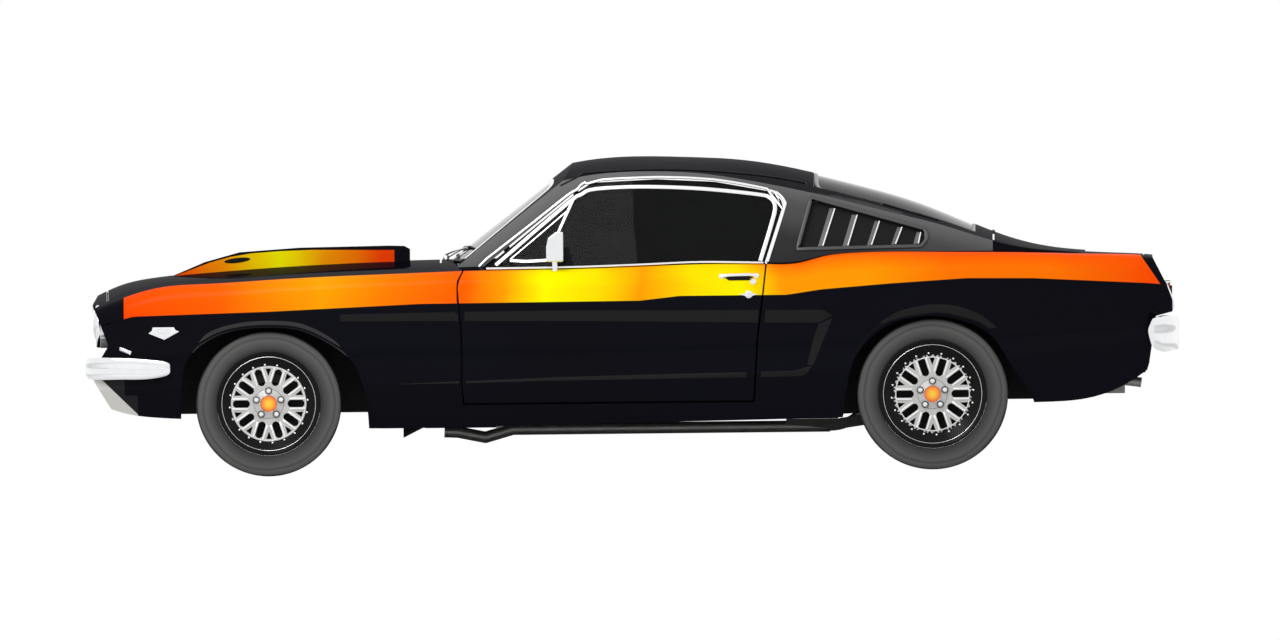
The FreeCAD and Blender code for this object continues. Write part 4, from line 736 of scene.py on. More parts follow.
class CAR_OT_wheels(Step):
    """Spoke rods, the dark ring behind them, rim rings, rivets, wheel nuts and centre caps"""
    bl_idname = "muscle_car.wheels"
    bl_label = "Wheel Faces"

    def build(self, sizes):
        for place, x, side in WHEELS:
            low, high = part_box("wheel_" + place)
            middle = (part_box("tyre_" + place)[1].z) / 2
            flange = (high.z - low.z) / 2
            lip = max(abs(low.y), abs(high.y))
            face = lip - 0.034
            centre = np.array((x, 0.0, middle))
            out = np.array((0.0, float(side), 0.0))

            def at(radius, angle, depth, across=0.0):
                spoke = np.array((math.cos(angle), 0.0, math.sin(angle)))
                square = np.array((-math.sin(angle), 0.0, math.cos(angle)))
                return centre + spoke * radius + square * across + out * depth

            rods = []
            rod = oval(0.0052, 0.0060, 0.8, 10)
            for k in range(10):
                angle = math.radians(36 * k)
                for hand in (-1, 1):
                    start = at(0.088, angle, face - 0.004, hand * 0.0205)
                    bend = at(0.100, angle, face + 0.0012, hand * 0.0205)
                    stop = at(0.1500, angle, face + 0.0012, hand * 0.0205)
                    path = np.vstack([start, bend + (stop - bend) * np.linspace(0, 1, 6)[:, None]])
                    rods.append(carried(path, rod, out))
            ring = [(0.1500, -0.003), (0.1502, 0.0030), (0.1515, 0.0042), (0.1530, 0.0042), (0.1545, 0.0030),
                    (0.1547, -0.003), (0.1500, -0.003)]
            rods.append(turned(ring, centre + out * face, out, 96))
            piece("spokes_" + place, rods, "spoke_bright", place + "_wheel")

            shield = [(0.126, 0.7290), (0.160, 0.7290), (0.160, 0.7315), (0.126, 0.7315), (0.126, 0.7290)]
            piece("dust_shield_" + place, [turned(shield, centre, out, 96)], "inner_paint", place + "_wheel")

            foot, bore = flange * 0.73, flange - 0.008
            line_radius = bore - 0.0125

            def on_lip(radius):
                return face + (radius - foot) / (bore - foot) * 0.034

            bead = [(line_radius + 0.0009 * math.cos(a), on_lip(line_radius) + 0.0009 * math.sin(a))
                    for a in np.linspace(0, 2 * math.pi, 9)]
            bright = [turned(bead, centre, out, 128)]
            for k in range(20):
                angle = math.radians(18 * k + 5)
                dome = [(0.0046, -0.002), (0.0046, 0.0012), (0.0036, 0.0026), (0.0018, 0.0033), (0.0, 0.0035)]
                bright.append(turned(dome, at(foot + 0.0058, angle, on_lip(foot + 0.0058)), out, 12))
            piece("rim_beads_" + place, bright, "bright_trim", place + "_wheel")

            dark, nuts = [], []
            for k in range(5):
                angle = math.radians(72 * k + 90)
                dark.append(turned([(0.0112, -0.001), (0.0150, -0.001), (0.0150, 0.0020), (0.0112, 0.0020),
                                    (0.0112, -0.001)],
                                   at(0.0535, angle, face + 0.006), out, 24))
                nut = [(0.0108, -0.002), (0.0108, 0.010), (0.0098, 0.0125), (0.0070, 0.0145), (0.0, 0.0152)]
                nuts.append(turned(nut, at(0.0535, angle, face + 0.006), out, 6))
            hub_ring = [(0.0608, -0.002), (0.0608, 0.0006), (0.0622, 0.0006), (0.0622, -0.002), (0.0608, -0.002)]
            dark.append(turned(hub_ring, centre + out * face, out, 72))
            piece("nut_seats_" + place, dark, "graphite", place + "_wheel")
            piece("wheel_nuts_" + place, nuts, "chrome", place + "_wheel", flat=True)
            radii = np.linspace(0, 1, 12)
            dome = [(0.0335 * r, 0.0145 - 0.0035 * r ** 3) for r in radii] + [(0.0338, 0.0100), (0.0338, 0.002)]
            points, faces = turned(dome, centre + out * face, out, 48)
            reach = np.hypot(points[:, 0] - x, points[:, 2] - middle) / 0.0335
            piece("centre_cap_" + place, [(points, faces)], "cap_enamel", place + "_wheel",
                  values={"reach": reach})
            rim = [(0.0338, 0.0), (0.0338, 0.0125), (0.0347, 0.0135), (0.0356, 0.0125), (0.0356, 0.0), (0.0338, 0.0)]
            piece("cap_ring_" + place, [turned(rim, centre + out * face, out, 48)], "chrome", place + "_wheel")


class CAR_OT_side_trim(Step):
    """Bright mouldings of the side windows and door belts, and the drip rails"""
    bl_idname = "muscle_car.side_trim"
    bl_label = "Side Mouldings"

    def build(self, sizes):
        frame_line = [(-0.640, 0.856), (-0.420, 1.024), (-0.263, 1.146), (-0.223, 1.170), (-0.161, 1.206),
                      (0.109, 1.218), (0.349, 1.205), (0.560, 1.166), (0.612, 1.143), (0.636, 1.112), (0.635, 1.090),
                      (0.600, 0.980), (0.562, 0.864)]
        for hand, side in SIDES:
            body = hand + "_door"
            rail = moulding(("roof",), frame_line, side, 5, 0.0015, oval(0.0055, 0.0045, 0.7, 12))
            piece("window_moulding_" + hand, [rail], "bright_trim", "shell")
            drip = [(x, z - 0.012) for x, z in DRIP if -0.70 < x < 1.40]
            piece("drip_rail_" + hand, [moulding(("roof",), drip, side, 5, 0.001, oval(0.0030, 0.0035, 0.8, 10))],
                  "satin_black", "shell")
            inner = [(-0.560, 0.862), (-0.263, 1.112), (-0.205, 1.150), (-0.150, 1.172), (0.033, 1.180),
                     (0.281, 1.170), (0.520, 1.144), (0.575, 1.128), (0.596, 1.092), (0.580, 1.020), (0.532, 0.868)]
            post = [(-0.345, 0.880), (-0.304, 0.985), (-0.236, 1.132)]
            vent = [(-0.500, 0.885), (-0.400, 0.968), (-0.262, 1.083)]
            foot = [(-0.500, 0.880), (-0.430, 0.876), (-0.345, 0.880)]
            parts = [moulding(("door_glass_" + hand,), line, side, steps, 0.001, outline) for line, steps,
                     outline in (
                (inner, 5, oval(0.0085, 0.0040, 0.6, 12)), (post, 6, oval(0.0070, 0.0045, 0.6, 12)),
                (vent, 6, oval(0.0035, 0.0035, 0.7, 10)), (foot, 6, oval(0.0080, 0.0040, 0.6, 12)))]
            piece("glass_frame_" + hand, parts, "bright_trim", body)
            belt = [(-0.600, 0.851), (-0.240, 0.854), (0.033, 0.861), (0.281, 0.869), (0.545, 0.864)]
            path, ways = laid(("door_" + hand,), smooth([(x, z - 0.012) for x, z in belt], 6), side, 0.0)
            path[:, 2] += 0.010
            path[:, 1] -= side * 0.004
            piece("belt_moulding_" + hand, [carried(path, oval(0.0045, 0.0045, 0.7, 10), (0, side, 0))],
                  "bright_trim", body)


class CAR_OT_screen_trim(Step):
    """Mouldings of the windscreen and rear window, and the wipers"""
    bl_idname = "muscle_car.screen_trim"
    bl_label = "Screen Mouldings"

    def build(self, sizes):
        half = [(0.0, 1.208), (0.258, 1.202), (0.424, 1.188), (0.500, 1.168), (0.524, 1.136), (0.632, 0.884)]
        ring = smooth(half, 7)
        full = np.vstack([ring[::-1] * (-1, 1), ring[1:]])
        places, ways = dropped(("windscreen",), [(-0.5, y, z) for y, z in full], (1, 0, 0), 0.0065)
        piece("windscreen_moulding", [carried(places, oval(0.0105, 0.0045, 0.7, 12), ways)], "bright_trim", "shell")
        low = [(y, 0.878 + 0.006 * (1 - (y / 0.63) ** 2)) for y in np.linspace(-0.625, 0.625, 33)]
        places, ways = dropped(("windscreen",), [(-0.7, y, z) for y, z in low], (1, 0, 0), 0.0055)
        piece("windscreen_seal", [carried(places, oval(0.0080, 0.0050, 0.7, 12), ways)], "satin_black", "shell")
        outline = [(0.765, 0.0), (0.766, 0.300), (0.772, 0.474), (0.800, 0.505), (0.870, 0.510), (1.120, 0.522),
                   (1.378, 0.530), (1.410, 0.512), (1.417, 0.440), (1.418, 0.0)]
        ring = smooth(outline, 7)
        full = np.vstack([ring, (ring[::-1] * (1, -1))[1:-1]])
        places, ways = dropped(("rear_window",), [(x, y, 1.0) for x, y in full], (0, 0, -1), 0.0020)
        piece("rear_window_moulding", [carried(places, oval(0.0090, 0.0035, 0.7, 12), ways, closed=True)],
              "graphite", "shell")
        arms, rubbers = [], []
        for start, stop in ((-0.10, -0.56), (0.42, -0.04)):
            blade = [(y, 0.925 + 0.010 * math.sin(3.0 * k / 12))
                     for k, y in enumerate(np.linspace(start + 0.05, stop, 13))]
            places, ways = dropped(("windscreen",), [(-0.7, y, z) for y, z in blade], (1, 0, 0), 0.006)
            rubbers.append(carried(places, oval(0.0035, 0.0050, 0.6, 8), ways))
            pivot, _ = dropped(("cowl", "windscreen", "roof"), [(-0.765, start + 0.08, 1.0)], (0, 0, -1), 0.0)
            arm = np.vstack([pivot, pivot + (0.0, -0.01, 0.018), (places[6] + pivot[0]) / 2 + (0.0, 0.0, 0.012),
                             places[6]])
            arms.append(carried(smooth(arm, 6), oval(0.0045, 0.0022, 0.6, 8), (0.0, 0.3, 1.0)))
            arms.append(turned([(0.0, 0.022), (0.008, 0.020), (0.011, 0.014), (0.013, -0.004), (0.0, -0.004)],
                               pivot[0], (0, 0, 1), 20))
        piece("wiper_arms", arms, "chrome", "shell")
        piece("wiper_blades", rubbers, "satin_black", "shell")


class CAR_OT_nose(Step):
    """Grille surround, lamp rings, corner lamps and plain fender plates"""
    bl_idname = "muscle_car.nose"
    bl_label = "Nose Details"

    def build(self, sizes):
        low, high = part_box("grille")
        wide, base, top = high.y - 0.012, low.z + 0.004, high.z - 0.006
        corner = 0.025
        ring = [(wide - corner, base), (wide, base + corner), (wide, top - corner), (wide - corner, top), (0.0, top)]
        right = np.vstack([np.linspace((0.0, base), ring[0], 12)[:-1], smooth(ring[:4], 8)[:-1],
                           np.linspace(ring[3], ring[4], 12)])
        full = np.vstack([right, (right[::-1] * (-1, 1))[1:-1]])
        places, ways = dropped(("grille", "nose_panel"), [(-2.2, y, z) for y, z in full], (1, 0, 0), 0.002)
        piece("grille_surround", [carried(places, oval(0.0065, 0.0060, 0.6, 12), (-1, 0, 0), closed=True)],
              "chrome", "shell")
        rings = []
        low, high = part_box("headlamps")
        radius = (high.z - low.z) / 2
        for hand, side in SIDES:
            centre = (low.x + 0.023, side * (high.y - radius), (high.z + low.z) / 2)
            bead = [(radius - 0.0065 + 0.0055 * math.cos(a), 0.012 * math.sin(a))
                    for a in np.linspace(0, 2 * math.pi, 13)]
            rings.append(turned(bead, centre, (-1, 0, 0), 72))
        piece("lamp_rings", rings, "chrome", "shell")
        badges, lenses = [], []
        plate_line = [(-1.980, 0.621), (-1.893, 0.621), (-1.886, 0.609), (-1.871, 0.603), (-1.933, 0.569),
                      (-1.998, 0.596), (-1.984, 0.607)]
        inner_line = [(-1.972, 0.617), (-1.900, 0.617), (-1.905, 0.603), (-1.935, 0.592), (-1.968, 0.603)]
        lens_line = [(-2.118, 0.541), (-2.068, 0.523), (-2.074, 0.508), (-2.118, 0.527)]
        for hand, side in SIDES:
            for line, lift, crown, store in ((plate_line, 0.0, 0.0015, badges), (inner_line, 0.0035, 0.002, badges),
                                             (lens_line, 0.0, 0.003, lenses)):
                middle = np.mean(line, 0)
                places, ways = laid(("fender_" + hand, "nose_panel"), [middle], side)
                level, upward = tangent_sides(ways[0])
                flat_line = [((x - middle[0]) * np.sign(level[0]), z - middle[1]) for x, z in line]
                store.append(plate(flat_line, places[0] + ways[0] * lift, level, upward, 0.004, crown))
        piece("fender_plates", badges, "chrome", "shell")
        piece("corner_lamps", lenses, "lamp_lens", "shell")


class CAR_OT_tail(Step):
    """Bezels of the tail lamps"""
    bl_idname = "muscle_car.tail"
    bl_label = "Tail Details"

    def build(self, sizes):
        low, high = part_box("tail_lamps")
        base, top = low.z + 0.002, high.z - 0.002
        bezels = []
        for side in (-1, 1):
            for share in (0.500, 0.585, 0.670):
                y, half = side * HALF_CAR * share, HALF_CAR * 0.030
                corners = np.array([(y - half, base), (y + half, base), (y + half, top), (y - half, top),
                                    (y - half, base)])
                path = np.concatenate([np.linspace(corners[k], corners[k + 1], 8, endpoint=False) for k in range(4)])
                places, ways = dropped(("tail_panel", "tail_lamps"), [(2.2, py, pz) for py, pz in path], (-1, 0, 0),
                                       0.001)
                bezels.append(carried(places, oval(0.0045, 0.0055, 0.6, 10), (1, 0, 0), closed=True))
        piece("lamp_bezels", bezels, "chrome", "shell")


class CAR_OT_doors(Step):
    """Door handles, locks, plain door plates, arch lips, a dark plate of painted shade behind each handle, and grey
    strips of painted highlight over the arches and side cove
    """
    bl_idname = "muscle_car.doors"
    bl_label = "Door Details"

    def build(self, sizes):
        for hand, side in SIDES:
            node = ("door_" + hand,)
            line = smooth([(0.366, 0.806), (0.400, 0.809), (0.450, 0.810), (0.500, 0.810), (0.526, 0.807)], 6)
            places, ways = laid(node, line, side)
            share = np.linspace(0, 1, len(line))
            places = places + ways * (0.0040 + 0.0036 * np.sin(np.pi * share))[:, None]
            parts = [carried(places, oval(0.0060, 0.0034, 0.8, 12), ways)]
            for x in (0.372, 0.516):
                foot, way = laid(node, [(x, 0.807)], side)
                parts.append(turned([(0.0, -0.002), (0.011, -0.002), (0.011, 0.002), (0.007, 0.0055), (0.0, 0.0060)],
                                    foot[0], way[0], 20))
            lock, way = laid(node, [(0.502, 0.784)], side)
            parts.append(turned([(0.0, 0.0045), (0.0045, 0.0045), (0.0050, 0.0030), (0.010, 0.0040), (0.013, 0.0015),
                                 (0.0135, -0.002), (0.0, -0.002)], lock[0], way[0], 28))
            mark, way = laid(node, [(0.483, 0.731)], side)
            level, upward = tangent_sides(way[0])
            parts.append(turned([(0.0, 0.0055), (0.011, 0.0045), (0.0155, 0.002), (0.0155, -0.001), (0.0, -0.001)],
                                mark[0], way[0], 28))
            wing = [(-0.038, 0.001), (0.0, 0.007), (0.038, 0.001), (0.012, -0.007), (-0.012, -0.007)]
            parts.append(plate(wing, mark[0], level, upward, 0.002, 0.0008))
            piece("door_handle_" + hand, parts, "chrome", hand + "_door")
            # A thin dark plate behind the handle: painted shade of the handle's cup
            cup, way = laid(node, [(0.447, 0.797)], side)
            level, upward = tangent_sides(way[0])
            bowl = [(-0.062, 0.004), (-0.040, 0.010), (0.040, 0.010), (0.055, 0.004), (0.040, -0.008),
                    (-0.045, -0.008)]
            piece("handle_shade_" + hand, [plate(bowl, cup[0], level, upward, 0.0006)], "lip_black", hand + "_door")
            lips = []
            for line, owner in ((FRONT_ARCH, ("fender_" + hand,)), (REAR_ARCH, ("quarter_" + hand,))):
                middle = np.mean(line, 0)
                outside = [(x + (x - middle[0]) * 0.018, z + 0.010) for x, z in line]
                lips.append(moulding(owner, outside, side, 6, -0.002, oval(0.0065, 0.0050, 0.8, 12)))
            piece("arch_lips_" + hand, lips, "black_paint", "shell")
            # Grey crescents over the arches: painted highlight where the flared lips catch the light
            flare_highlights = (
                ("fender_", "flare_painted_highlight", [(-1.815, 0.512), (-1.743, 0.570), (-1.640, 0.606), (-1.504, 0.617),
                                           (-1.371, 0.603), (-1.248, 0.544), (-1.180, 0.490)],
                 [(-1.818, 0.515), (-1.757, 0.592), (-1.645, 0.631), (-1.502, 0.643), (-1.362, 0.628),
                  (-1.235, 0.562), (-1.177, 0.493)]),
                ("quarter_", "dim_painted_highlight", [(1.028, 0.605), (1.087, 0.619), (1.150, 0.637), (1.260, 0.645),
                                            (1.340, 0.636), (1.410, 0.612), (1.480, 0.579)],
                 [(1.026, 0.610), (1.082, 0.645), (1.150, 0.668), (1.250, 0.682), (1.350, 0.672), (1.440, 0.636),
                  (1.507, 0.584)]))

            def strip(owner, low, high, most=0.0024):
                """A low raised strip between two lines of the side view, highest at its middle."""
                below, above = smooth(low, 8), smooth(high, 8)
                shares = np.linspace(0, 1, 7)
                rows = [laid((owner + hand,), below * (1 - share) + above * share, side) for share in shares]
                surface, ways = (np.stack([row[k] for row in rows], 1) for k in (0, 1))
                rise = 0.0012 + (most - 0.0012) * np.sin(np.pi * shares)[None, :, None]
                return capped(np.concatenate([surface + ways * rise, (surface - ways * 0.001)[:, ::-1]], 1))

            for owner, tone, low, high in flare_highlights:
                piece("arch_flare_highlight_" + owner + hand, [strip(owner, low, high)], tone, "shell")
            # Grey bars along the side cove: painted highlight on its upper chamfer and its lower lip
            bars = {
                "fender_": [([(-1.206, 0.6365), (-1.080, 0.636), (-0.900, 0.635), (-0.718, 0.6335)],
                             [(-1.206, 0.6655), (-1.080, 0.667), (-0.900, 0.669), (-0.718, 0.671)]),
                            ([(-0.970, 0.3745), (-0.850, 0.3750), (-0.716, 0.3760)],
                             [(-0.970, 0.3755), (-0.850, 0.3795), (-0.716, 0.3840)])],
                "door_": [([(-0.692, 0.633), (-0.297, 0.629), (0.116, 0.6225), (0.520, 0.6145)],
                           [(-0.692, 0.671), (-0.297, 0.6725), (0.116, 0.669), (0.523, 0.666)]),
                          ([(-0.690, 0.376), (-0.297, 0.383), (0.100, 0.386), (0.519, 0.389)],
                           [(-0.690, 0.3845), (-0.297, 0.397), (0.100, 0.405), (0.519, 0.411)])],
                "quarter_": [([(0.548, 0.614), (0.660, 0.613), (0.740, 0.612), (0.770, 0.612), (0.822, 0.637)],
                              [(0.551, 0.666), (0.660, 0.665), (0.740, 0.665), (0.790, 0.663), (0.826, 0.641)]),
                             ([(0.530, 0.389), (0.600, 0.390), (0.673, 0.391), (0.712, 0.398), (0.742, 0.431)],
                              [(0.530, 0.411), (0.600, 0.413), (0.673, 0.416), (0.704, 0.424), (0.738, 0.433)])]}
            for owner, pairs in bars.items():
                piece("cove_highlight_bars_" + owner + hand, [strip(owner, *pair, 0.0018) for pair in pairs], "cove_painted_highlight",
                      hand + "_door" if owner == "door_" else "shell")
            # The cove's rear end takes a darker painted highlight
            end = strip("quarter_", [(0.722, 0.438), (0.742, 0.520), (0.770, 0.606)],
                        [(0.746, 0.436), (0.788, 0.535), (0.828, 0.630)], 0.0018)
            piece("cove_end_highlight_" + hand, [end], "dim_painted_highlight", "shell")


class CAR_OT_louvres(Step):
    """Fins and frame of the quarter louvres, and bright rods on the fins' rear edges that are partly painted
    highlight
    """
    bl_idname = "muscle_car.louvres"
    bl_label = "Quarter Louvres"

    def build(self, sizes):
        middle = np.mean(LOUVRE, 0)
        fins = (((0.747, 0.926), (0.795, 1.090), (0.791, 0.926), (0.842, 1.080)),
                ((0.846, 0.926), (0.886, 1.062), (0.894, 0.926), (0.934, 1.052)),
                ((0.950, 0.928), (0.985, 1.036), (0.992, 0.928), (1.026, 1.026)),
                ((1.052, 0.930), (1.078, 1.008), (1.091, 0.930), (1.119, 1.000)),
                ((1.140, 0.932), (1.160, 0.988), (1.186, 0.932), (1.196, 0.978)))
        for hand, side in SIDES:
            outline = np.vstack([smooth([LOUVRE[5], LOUVRE[0]], 10)[:-1], smooth([LOUVRE[0], LOUVRE[1]], 10)[:-1],
                                 smooth(LOUVRE[1:5], 8)[:-1], smooth([LOUVRE[4], LOUVRE[5]], 10)[:-1]])
            places, ways = laid(("roof",), outline + (outline - middle) * 0.01, side, 0.001)
            piece("louvre_frame_" + hand, [carried(places, oval(0.0080, 0.0050, 0.6, 12), (0, side, 0.4),
                                                   closed=True)],
                  "graphite", "shell")
            blades, edges = [], []
            for low_front, high_front, low_back, high_back in fins:
                share = np.linspace(0, 1, 12)[:, None]
                front = np.array(low_front) + (np.array(high_front) - low_front) * share
                back = np.array(low_back) + (np.array(high_back) - low_back) * share
                front_places, _ = laid(("roof", "quarter_louvres"), front, side)
                back_places, ways = laid(("roof", "quarter_louvres"), back, side)
                across = np.linspace(0, 1, 9)[None, :, None]
                rise = 0.010 * across ** 1.6
                skin_points = front_places[:, None] * (1 - across) + back_places[:, None] * across
                face = skin_points + ways[:, None] * (rise - 0.004)
                under = skin_points + ways[:, None] * (rise - 0.007)
                blades.append(capped(np.concatenate([face, under[:, ::-1]], 1)))
                # A bright rod on each fin's rear edge: partly a real edge and partly a painted highlight
                edges.append(carried(back_places + ways * 0.0055, oval(0.0036, 0.0030, 0.8, 10), ways))
            piece("louvre_fins_" + hand, blades, "graphite", "shell")
            piece("louvre_edge_highlights_" + hand, edges, "bright_trim", "shell")


class CAR_OT_scoop(Step):
    """Black lozenge on each side of the hood scoop"""
    bl_idname = "muscle_car.scoop"
    bl_label = "Hood Scoop"

    def build(self, sizes):
        marks = []
        for hand, side in SIDES:
            places, ways = laid(("hood",), [(-1.628, 0.894)], side)
            level, upward = tangent_sides(ways[0])
            angle = np.linspace(0, 2 * np.pi, 24, endpoint=False)
            along, tall = 0.054 * np.cos(angle), 0.0105 * np.sin(angle)
            lozenge = np.stack([along * np.sign(level[0]), tall + along * 0.10], -1)
            marks.append(plate(lozenge, places[0], level, upward, 0.0012, 0.0006))
        piece("scoop_marks", marks, "lip_black", "bonnet")


class CAR_OT_seals(Step):
    """Rubber strips behind the door gaps and at the hood's front edge"""
    bl_idname = "muscle_car.seals"
    bl_label = "Door Seals"

    def build(self, sizes):
        for hand, side in SIDES:
            def strip(line, half, y):
                path = np.array([(x, side * y, z) for x, z in line])
                return carried(path, oval(half, 0.0018, 0.5, 10), (0, side, 0))

            rear = smooth([(0.504, 0.268), (0.5205, 0.5485), (0.5295, 0.620), (0.5455, 0.738), (0.5590, 0.857)], 6)
            sill = [(x, 0.289) for x in np.linspace(-0.690, 0.505, 25)]
            front = [(-0.712, z) for z in np.linspace(0.240, 0.848, 13)]
            piece("door_seals_" + hand, [strip(rear, 0.014, 0.6850), strip(sill, 0.015, 0.6850),
                                         strip(front, 0.028, 0.6975)],
                  "seal_rubber", "shell")
        half = np.array([(0.0, 0.7718), (0.1, 0.7713), (0.2, 0.7695), (0.3, 0.7655), (0.4, 0.7592), (0.5, 0.7505),
                         (0.58, 0.7413), (0.62, 0.7360), (0.655, 0.7310)])
        full = np.vstack([half[::-1] * (-1, 1), half[1:]])
        path = np.column_stack([np.full(len(full), -2.1658), full[:, 0], full[:, 1] - 0.012])
        piece("hood_seal", [carried(smooth(path, 4), oval(0.0026, 0.010, 0.6, 10), (0, 0, 1))], "seal_rubber",
              "shell")


def bulk(centre, half, ways=np.eye(3), power=0.25, rows=17, count=48):
    """A rounded block: along three ways, half sizes times cosine and sine raised to a power that squares the
    corners."""
    tall = np.linspace(-np.pi / 2, np.pi / 2, rows)[:, None]
    turn = np.linspace(0, 2 * np.pi, count, endpoint=False)[None, :]

    def bent(value):
        value = np.round(value, 9)
        return np.sign(value) * np.abs(value) ** power

    shape = np.stack([bent(np.cos(tall)) * bent(np.cos(turn)), bent(np.cos(tall)) * bent(np.sin(turn)),
                      bent(np.sin(tall)) + np.zeros_like(turn)], -1)
    return grid(np.asarray(centre, float) + (shape * half) @ np.asarray(ways, float), wrap_v=True)


def evened(thing, voxel):
    """Gives a closed piece an even mesh of small cells."""
    cells = thing.modifiers.new("cells", "REMESH")
    cells.mode = "VOXEL"
    cells.voxel_size = voxel
    fresh = bpy.data.meshes.new_from_object(thing.evaluated_get(bpy.context.evaluated_depsgraph_get()))
    thing.modifiers.remove(cells)
    thing.data = fresh


def swollen(thing, reach):
    """Blows a cushion up with simulated air and keeps the shape; no point ends farther than reach from its start."""
    count = len(thing.data.vertices) * 3
    start, end = np.zeros(count), np.zeros(count)
    thing.data.vertices.foreach_get("co", start)
    air = thing.modifiers.new("air", "CLOTH")
    air.settings.use_pressure = True
    air.settings.uniform_pressure_force = AIR_PRESSURE
    air.settings.effector_weights.gravity = 0.0
    air.point_cache.frame_end = CLOTH_FRAMES
    for step in range(1, CLOTH_FRAMES + 1):
        bpy.context.scene.frame_set(step)
    shaped = thing.evaluated_get(bpy.context.evaluated_depsgraph_get())
    shaped.data.vertices.foreach_get("co", end)
    thing.modifiers.remove(air)
    bpy.context.scene.frame_set(1)
    start, end = start.reshape(-1, 3), end.reshape(-1, 3)
    move = end - start
    length = np.linalg.norm(move, axis=1, keepdims=True)
    place = start + move * np.minimum(1.0, reach / np.maximum(length, 1e-9))
    thing.data.vertices.foreach_set("co", place.ravel())


def cushion(name, centre, half, ways, channels, sizes):
    """A cushion: a rounded block swollen by air, then pressed in along its sewn channels by a bell curve across
    each."""
    reach = sizes.cushion_swell
    thing = piece(name, [bulk(centre, np.array(half) - reach * 0.8, ways, 0.36, 41, 96)], "seat_vinyl", "shell")
    evened(thing, sizes.cushion_cell)
    swollen(thing, reach)
    mesh = thing.data
    count = len(mesh.vertices) * 3
    points, normals = np.zeros(count), np.zeros(count)
    mesh.vertices.foreach_get("co", points)
    mesh.vertices.foreach_get("normal", normals)
    points, normals = points.reshape(-1, 3), normals.reshape(-1, 3)
    ways = np.asarray(ways, float)
    local, facing = (points - centre) @ ways.T, normals @ ways.T
    front = np.clip((facing[:, 2] - 0.35) / 0.4, 0, 1) * np.clip((half[0] * 0.86 - np.abs(local[:, 0])) / 0.02, 0, 1)
    press = sum(np.exp(-((local[:, 1] - place) / 0.0075) ** 2) for place in channels) * front * sizes.channel_depth
    mesh.vertices.foreach_set("co", (points - normals * press[:, None]).ravel())
    mesh.polygons.foreach_set("use_smooth", np.full(len(mesh.polygons), True))
    finer = thing.modifiers.new("finer", "SUBSURF")
    finer.levels = finer.render_levels = 1
    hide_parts("seats")


class CAR_OT_seats(Step):
    """Padded front seats and rear bench on their bases"""
    bl_idname = "muscle_car.seats"
    bl_label = "Seats"

    def build(self, sizes):
        flat = np.eye(3)
        pleats = (-0.150, -0.090, -0.030, 0.030, 0.090, 0.150)
        for hand, side in SIDES:
            y = side * 0.355
            cushion("seat_cushion_" + hand, (-0.072, y, 0.352), (0.222, 0.2165, 0.079), flat, pleats, sizes)
            up = np.array((0.3460, 0.0, 0.9382))
            lean = np.array([up, (0.0, 1.0, 0.0), (-0.9382, 0.0, 0.3460)])
            cushion("seat_back_" + hand, (0.2555, y, 0.632), (0.252, 0.2165, 0.046), lean, pleats, sizes)
            parts = [bulk((-0.065, y, 0.254), (0.195, 0.185, 0.0245), flat, 0.15)]
            for across in (-0.17, 0.17):
                parts.append(bulk((-0.060, y + across, 0.236), (0.225, 0.018, 0.0065), flat, 0.15))
                hinge = turned([(0.0, -0.006), (0.026, -0.006), (0.030, -0.002), (0.030, 0.004), (0.0, 0.008)],
                               (0.160, y + across * 1.20, 0.385), (0, np.sign(across), 0), 24)
                parts.append(hinge)
            made = piece("seat_base_" + hand, parts, "satin_black", "shell")
            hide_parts("seats")
        wide = tuple(place for place in np.arange(-0.42, 0.421, 0.06) if abs(place) > 0.07)
        cushion("bench_cushion", (0.757, 0.0, 0.414), (0.078, 0.518, 0.045), flat, wide, sizes)
        up = np.array((0.3100, 0.0, 0.9507))
        lean = np.array([up, (0.0, 1.0, 0.0), (-0.9507, 0.0, 0.3100)])
        cushion("bench_back", (0.968, 0.0, 0.690), (0.192, 0.518, 0.047), lean, wide, sizes)
        base = [bulk((0.757, side * 0.328, 0.302), (0.070, 0.180, 0.068), flat, 0.15) for side in (-1, 1)]
        made = piece("bench_base", base, "carpet", "shell")
        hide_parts("seats")


